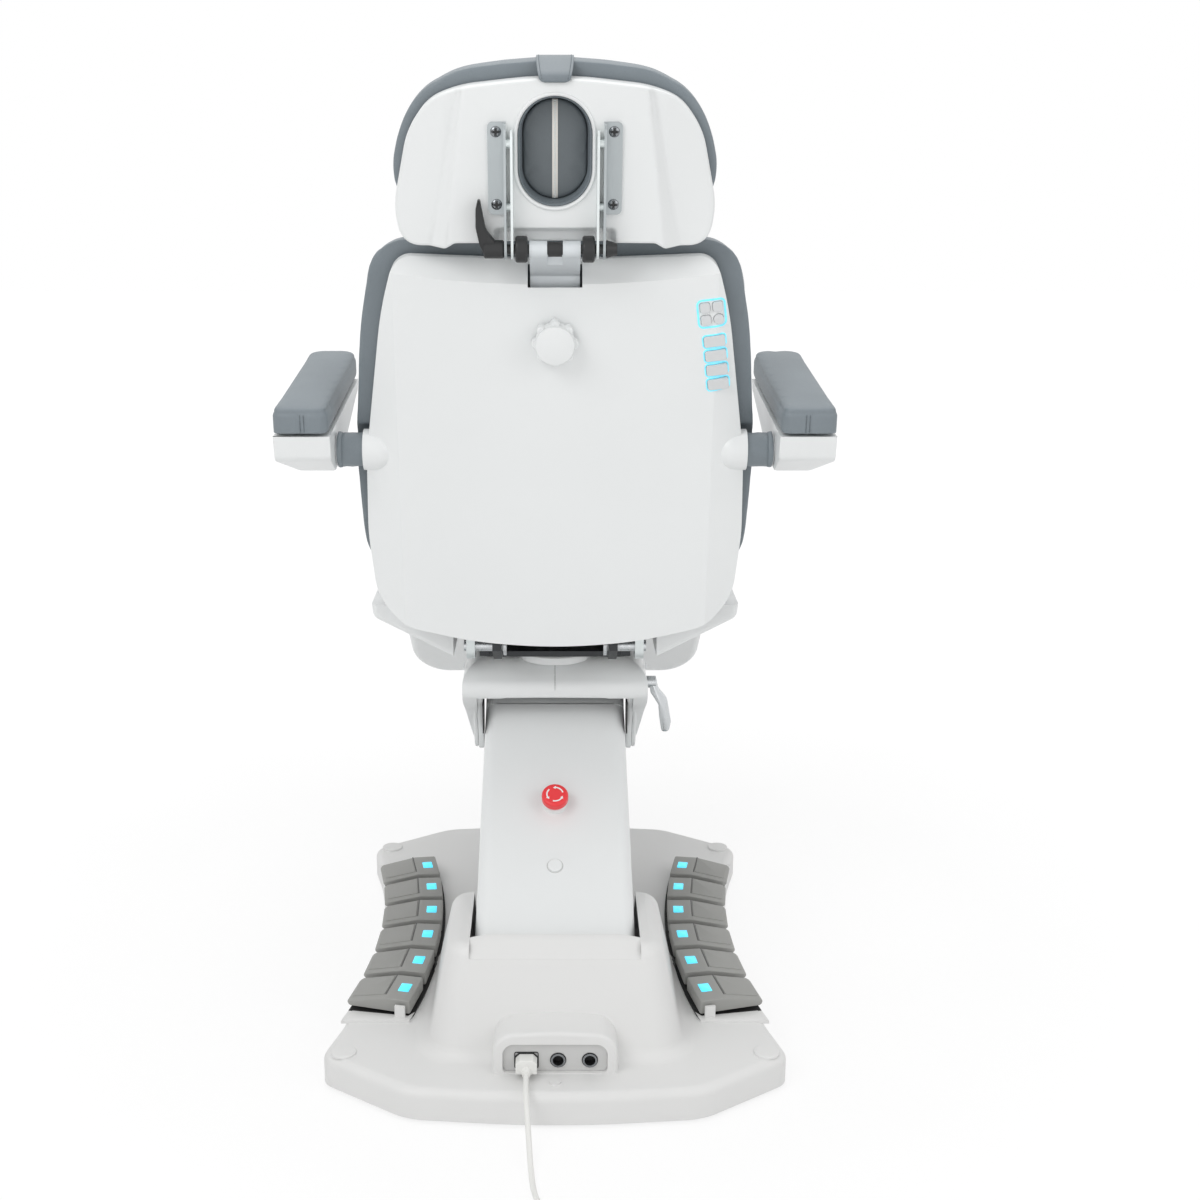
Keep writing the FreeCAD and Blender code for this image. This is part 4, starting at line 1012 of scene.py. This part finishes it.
def pad_mesh(name, node, shrink, voxel):
    """Copy of a soft CAD solid, drawn in a little and remeshed evenly."""
    mesh = NODES[node].data.copy()
    mesh.materials.clear()
    made = linked(name, mesh)
    remesh = made.modifiers.new("even", "REMESH")
    remesh.mode = "VOXEL"
    remesh.voxel_size = voxel
    apply_modifiers(made)
    shape = bmesh.new()
    shape.from_mesh(made.data)
    shape.normal_update()
    steps = [v.normal.copy() for v in shape.verts]
    for v, step in zip(shape.verts, steps):
        v.co -= step * shrink
    bmesh.ops.smooth_vert(shape, verts=shape.verts, factor=0.5,
                          use_axis_x=True, use_axis_y=True, use_axis_z=True)
    shape.to_mesh(made.data)
    shape.free()
    return made


def apply_modifiers(made):
    bpy.context.view_layer.update()
    result = bpy.data.meshes.new_from_object(made.evaluated_get(bpy.context.evaluated_depsgraph_get()))
    made.modifiers.clear()
    old = made.data
    made.data = result
    bpy.data.meshes.remove(old)


def inflate(made, held, cap):
    """Cloth under inner pressure, with the resting side held; no point travels further than the cap."""
    start = [v.co.copy() for v in made.data.vertices]
    group = made.vertex_groups.new(name="held")
    group.add([v.index for v in made.data.vertices if held(v.co)], 1.0, "REPLACE")
    cloth = made.modifiers.new("swell", "CLOTH")
    cloth.settings.effector_weights.gravity = 0
    for setting, value in CLOTH.items():
        setattr(cloth.settings, setting, value)
    for number in range(1, SIM_FRAMES + 1):
        SCENE.frame_set(number)
    apply_modifiers(made)
    made.vertex_groups.clear()
    SCENE.frame_set(1)
    for v, before in zip(made.data.vertices, start):
        step = v.co - before
        if step.length > cap:
            v.co = before + step.normalized() * cap


def finish_pad(made, body, node, material):
    divide = made.modifiers.new("fine", "SUBSURF")
    divide.levels = 1
    divide.render_levels = 1
    apply_modifiers(made)
    made.data.materials.append(material)
    made.data.shade_smooth()
    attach(made, body)
    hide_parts(node)


def press(made, path, width, depth):
    """Pushes the skin in along a sewn line."""
    tree = kd(path)
    shape = bmesh.new()
    shape.from_mesh(made.data)
    shape.normal_update()
    pushes = []
    for v in shape.verts:
        _, _, far = tree.find(v.co)
        if far < width:
            share = 1 - far / width
            pushes.append((v, v.normal * depth * share * share * (3 - 2 * share)))
    for v, push in pushes:
        v.co -= push
    shape.to_mesh(made.data)
    shape.free()


def kd(path):
    tree = KDTree(len(path))
    for i, p in enumerate(path):
        tree.insert(p, i)
    tree.balance()
    return tree


def on_skin(made, points, spacing, closed):
    """Points of a guide line dropped onto the skin at an even spacing, with the skin's normals."""
    tree = BVHTree.FromObject(made, bpy.context.evaluated_depsgraph_get())
    line = [Vector(p) for p in points]
    if closed:
        line.append(line[0])
    spots = []
    left = 0.0
    for a, b in zip(line, line[1:]):
        run = (b - a).length
        at = left
        while at < run:
            spots.append(a.lerp(b, at / run))
            at += spacing
        left = at - run
    found = [tree.find_nearest(p) for p in spots]
    return [(hit[0], hit[1]) for hit in found if hit[0] is not None]


def stitches(name, made, points, body, side, closed):
    """Row of short threads lying on the skin beside a line."""
    spacing, length, radius = 4.2, 3.0, 0.42
    spots = on_skin(made, points, spacing * MM, closed)
    shape = bmesh.new()
    count = len(spots)
    for i in range(count if closed else count - 1):
        here, normal = spots[i]
        after = spots[(i + 1) % count][0]
        ahead = after - here
        if ahead.length < 1e-6 or ahead.length > 4 * spacing * MM:
            continue
        ahead.normalize()
        aside = normal.cross(ahead) * side * MM
        a = here + aside + normal * 0.0001
        b = a + ahead * length * MM
        middle = (a + b) / 2 + normal * radius * 0.9 * MM
        tube([a, middle, b], radius * MM, 6, shape)
    return piece(name, shape, Matrix.Identity(4), body, THREAD, 80)


def soft_pad(name, node, body, held, shrink=7, voxel=6, cap=14, material=LEATHER, fit=None):
    """Upholstered pad in place of a CAD cushion; fit reshapes it before it swells. Lengths in millimetres."""
    made = pad_mesh(name, node, shrink * MM, voxel * MM)
    for v in made.data.vertices if fit else ():
        v.co = fit(v.co)
    inflate(made, held, cap * MM)
    finish_pad(made, body, node, material)
    return made


TO_BACK, TO_LEG, TO_REST, TO_BASE = (where.inverted() for where in (BACK, LEG, REST, BASE))


def wider(co):
    """Back cushion a little wider than its solid, as it shows beside the shell."""
    at = TO_BACK @ co
    at.x += math.copysign(8 * min(1.0, max(0.0, (abs(at.x) - 120) / 120)), at.x)
    return BACK @ at


ARCH = [(0, 1), (60, -2), (100, -6), (120, -9.5), (140, -13), (160, -11), (180, -5), (210, 0)]


def arched(co):
    """Headrest cushion with a rounder top than its solid."""
    at = TO_BACK @ co
    share = min(1.0, max(0.0, (at.z - 690) / 100))
    for (x0, d0), (x1, d1) in zip(ARCH, ARCH[1:]):
        if x0 <= abs(at.x) <= x1:
            at.z += share * (d0 + (d1 - d0) * (abs(at.x) - x0) / (x1 - x0))
            break
    return BACK @ at


def head_held(co):
    """Rear of the headrest cushion and the wall of its hole."""
    at = TO_BACK @ co
    return at.y < -42 or math.hypot(at.x, (at.z - HOLE_Z) * 0.7) < 50


back_pad = soft_pad("back_pad", "back_cushion", "back", lambda co: (TO_BACK @ co).y < -15, fit=wider)
seat_pad = soft_pad("seat_pad", "seat_cushion", "seat", lambda co: (TO_BASE @ co).z < 570)
leg_pad = soft_pad("legrest_pad", "legrest_cushion", "legrest", lambda co: (TO_LEG @ co).z < 56)
soft_pad("headrest_pad", "headrest_cushion", "headrest", head_held, shrink=4.5, voxel=5, cap=10, fit=arched)
# The plug takes the darker upholstery, painted shade of its recess
plug_pad = soft_pad("headrest_plug_pad", "headrest_plug", "headrest_plug", lambda co: False,
                    shrink=4.6, voxel=4, cap=4, material=PLUG_LEATHER_SHADED)
rest_pads = {}
for side, _ in SIDES:
    rest_pads[side] = soft_pad("armrest_pad_" + side, "armrest_cushion_" + side, "armrest_" + side,
                               lambda co: (TO_REST @ co).z < 40, shrink=4, voxel=4.5, cap=7)


# Sewn seams

def sew(name, made, points, body, depth=2.2, width=8.0, closed=True, rows=(-2.4, 2.4)):
    """Sewn line: the skin is drawn in along it, with a row of stitches each side."""
    spots = [hit for hit, _ in on_skin(made, points, 3 * MM, closed)]
    press(made, spots, width * MM, depth * MM)
    for n, side in enumerate(rows):
        stitches("%s_stitches_%d" % (name, n + 1), made, points, body, side, closed)


def loop(frame, outline, height, plane):
    """Closed guide line over a pad, in a sub-assembly's frame."""
    order = {"xy": lambda u, v: (u, v, height), "xz": lambda u, v: (u, height, v)}[plane]
    return [frame @ Vector(order(u, v)) for u, v in outline]


def shifted(points, du, dv):
    return [(u + du, v + dv) for u, v in points]


sew("back_seam", back_pad, loop(BACK, shifted(rounded(462, 452, 60), 0, 330), 80, "xz"), "back")
sew("seat_seam", seat_pad, loop(BASE, shifted(rounded(480, 328, 60), 0, 238), 650, "xy"), "seat")
sew("legrest_seam", leg_pad, loop(LEG, shifted(rounded(474, 262, 60), 0, 172), 130, "xy"), "legrest")
for side, sign in SIDES:
    pad = rest_pads[side]
    edge = [(sign * u, v) for u, v in shifted(rounded(98, 384, 36), 323, 110)]
    top = loop(REST, edge, 69, "xy")
    sew("armrest_seam_" + side, pad, top, "armrest_" + side, depth=1.3, width=5, rows=())
    end = [REST @ Vector((sign * 324, -90, z)) for z in (37, 55, 70)]
    sew("armrest_end_" + side, pad, end, "armrest_" + side, depth=1.2, width=5, closed=False)


# Zip down the plug's rear

ZIP_FOOT, ZIP_LENGTH = 637, 116
TAPE = ((-3.4, 0), (-3.4, -0.9), (3.4, -0.9), (3.4, 0))
plug_skin = BVHTree.FromObject(plug_pad, bpy.context.evaluated_depsgraph_get())
ahead = (BACK.to_3x3() @ Vector((0, 1, 0))).normalized()


def plug_rear(z):
    """Depth of the plug's rear skin on its middle line, in the back's frame."""
    hit = plug_skin.ray_cast(BACK @ Vector((0, -110, z)), ahead)[0]
    return (TO_BACK @ hit).y if hit is not None else -62.0


rings = []
for k in range(41):
    z = ZIP_FOOT + ZIP_LENGTH * k / 40
    y = plug_rear(z) - 0.1
    rings.append([(u, y + w, z) for u, w in TAPE])
piece("plug_zip_tape", skin(bmesh.new(), rings), BACK, "headrest_plug", ZIP_WHITE)
teeth = bmesh.new()
for k in range(ZIP_LENGTH // 2):
    z = ZIP_FOOT + 0.5 + k * 2
    y = plug_rear(z) - 1.15
    lean = 0.35 if k % 2 else -0.35
    tube([(lean - 0.9, y, z), (lean + 0.9, y, z)], 0.62, 6, teeth)
piece("plug_zip_teeth", teeth, BACK, "headrest_plug", ZINC, 60)


# Light, floor and surroundings

def maths(tree, operation, first, second):
    made = tree.nodes.new("ShaderNodeMath")
    made.operation = operation
    made.use_clamp = True
    tree.links.new(first, made.inputs[0])
    tree.links.new(second, made.inputs[1])
    return made.outputs[0]


def seen_directly(tree):
    """1 on rays from the camera and by way of gloss or glass, else 0."""
    rays = added(tree, "LightPath").outputs
    onward = maths(tree, "ADD", rays["Is Glossy Ray"], rays["Is Transmission Ray"])
    return maths(tree, "ADD", rays["Is Camera Ray"], onward)


world = bpy.data.worlds.new("studio")
SCENE.world = world
world.use_nodes = True
tree = world.node_tree
level = spread(tree, seen_directly(tree), 0.60, 1.0, 0.0, 1.0)
feed(tree, tree.nodes["Background"], Color=(1, 1, 1, 1), Strength=level)


def lamp(name, where, target, size, power):
    data = bpy.data.lights.new(name, "AREA")
    data.shape = "RECTANGLE"
    data.size, data.size_y = size
    data.energy = power
    made = linked(name, data)
    made.location = where
    made.rotation_euler = (Vector(target) - Vector(where)).to_track_quat("-Z", "Y").to_euler()


lamp("key_light", (-1.6, -2.2, 2.6), (0, 0, 0.6), (1.8, 1.4), 24)
lamp("fill_light", (2.0, -1.9, 1.7), (0, 0, 0.6), (1.6, 1.6), 10)
lamp("low_light", (-0.35, -3.2, 0.75), (0, 0, 0.6), (1.6, 1.0), 4)
lamp("top_light", (0, 0.5, 3.0), (0, 0, 0.5), (2.2, 2.2), 20)

floor_mesh = bmesh.new()
bmesh.ops.create_grid(floor_mesh, x_segments=1, y_segments=1, size=14)
floor_data = bpy.data.meshes.new("floor")
floor_mesh.to_mesh(floor_data)
floor_mesh.free()
floor = linked("floor", floor_data)
made, tree, bsdf = shader("floor_pale")
broad, _ = blotches(tree, 3, 2)
pale = (linear((236, 236, 236)), linear((240, 240, 240)))
feed(tree, bsdf, Base_Color=ramp(tree, broad, 0.3, 0.7, pale), Roughness=0.7)
glow = added(tree, "Emission", Color=(1, 1, 1, 1), Strength=1.05)
reach = tree.nodes.new("ShaderNodeVectorMath")
reach.operation = "LENGTH"
tree.links.new(added(tree, "TexCoord").outputs["Object"], reach.inputs[0])
away = spread(tree, reach.outputs["Value"], 0.78, 1.0, 0.7, 1.7)
blend = added(tree, "MixShader", Fac=maths(tree, "MULTIPLY", seen_directly(tree), away))
tree.links.new(bsdf.outputs["BSDF"], blend.inputs[1])
tree.links.new(glow.outputs["Emission"], blend.inputs[2])
feed(tree, tree.nodes["Material Output"], Surface=blend.outputs["Shader"])
floor_data.materials.append(made)

SCENE.view_settings.view_transform = "Standard"
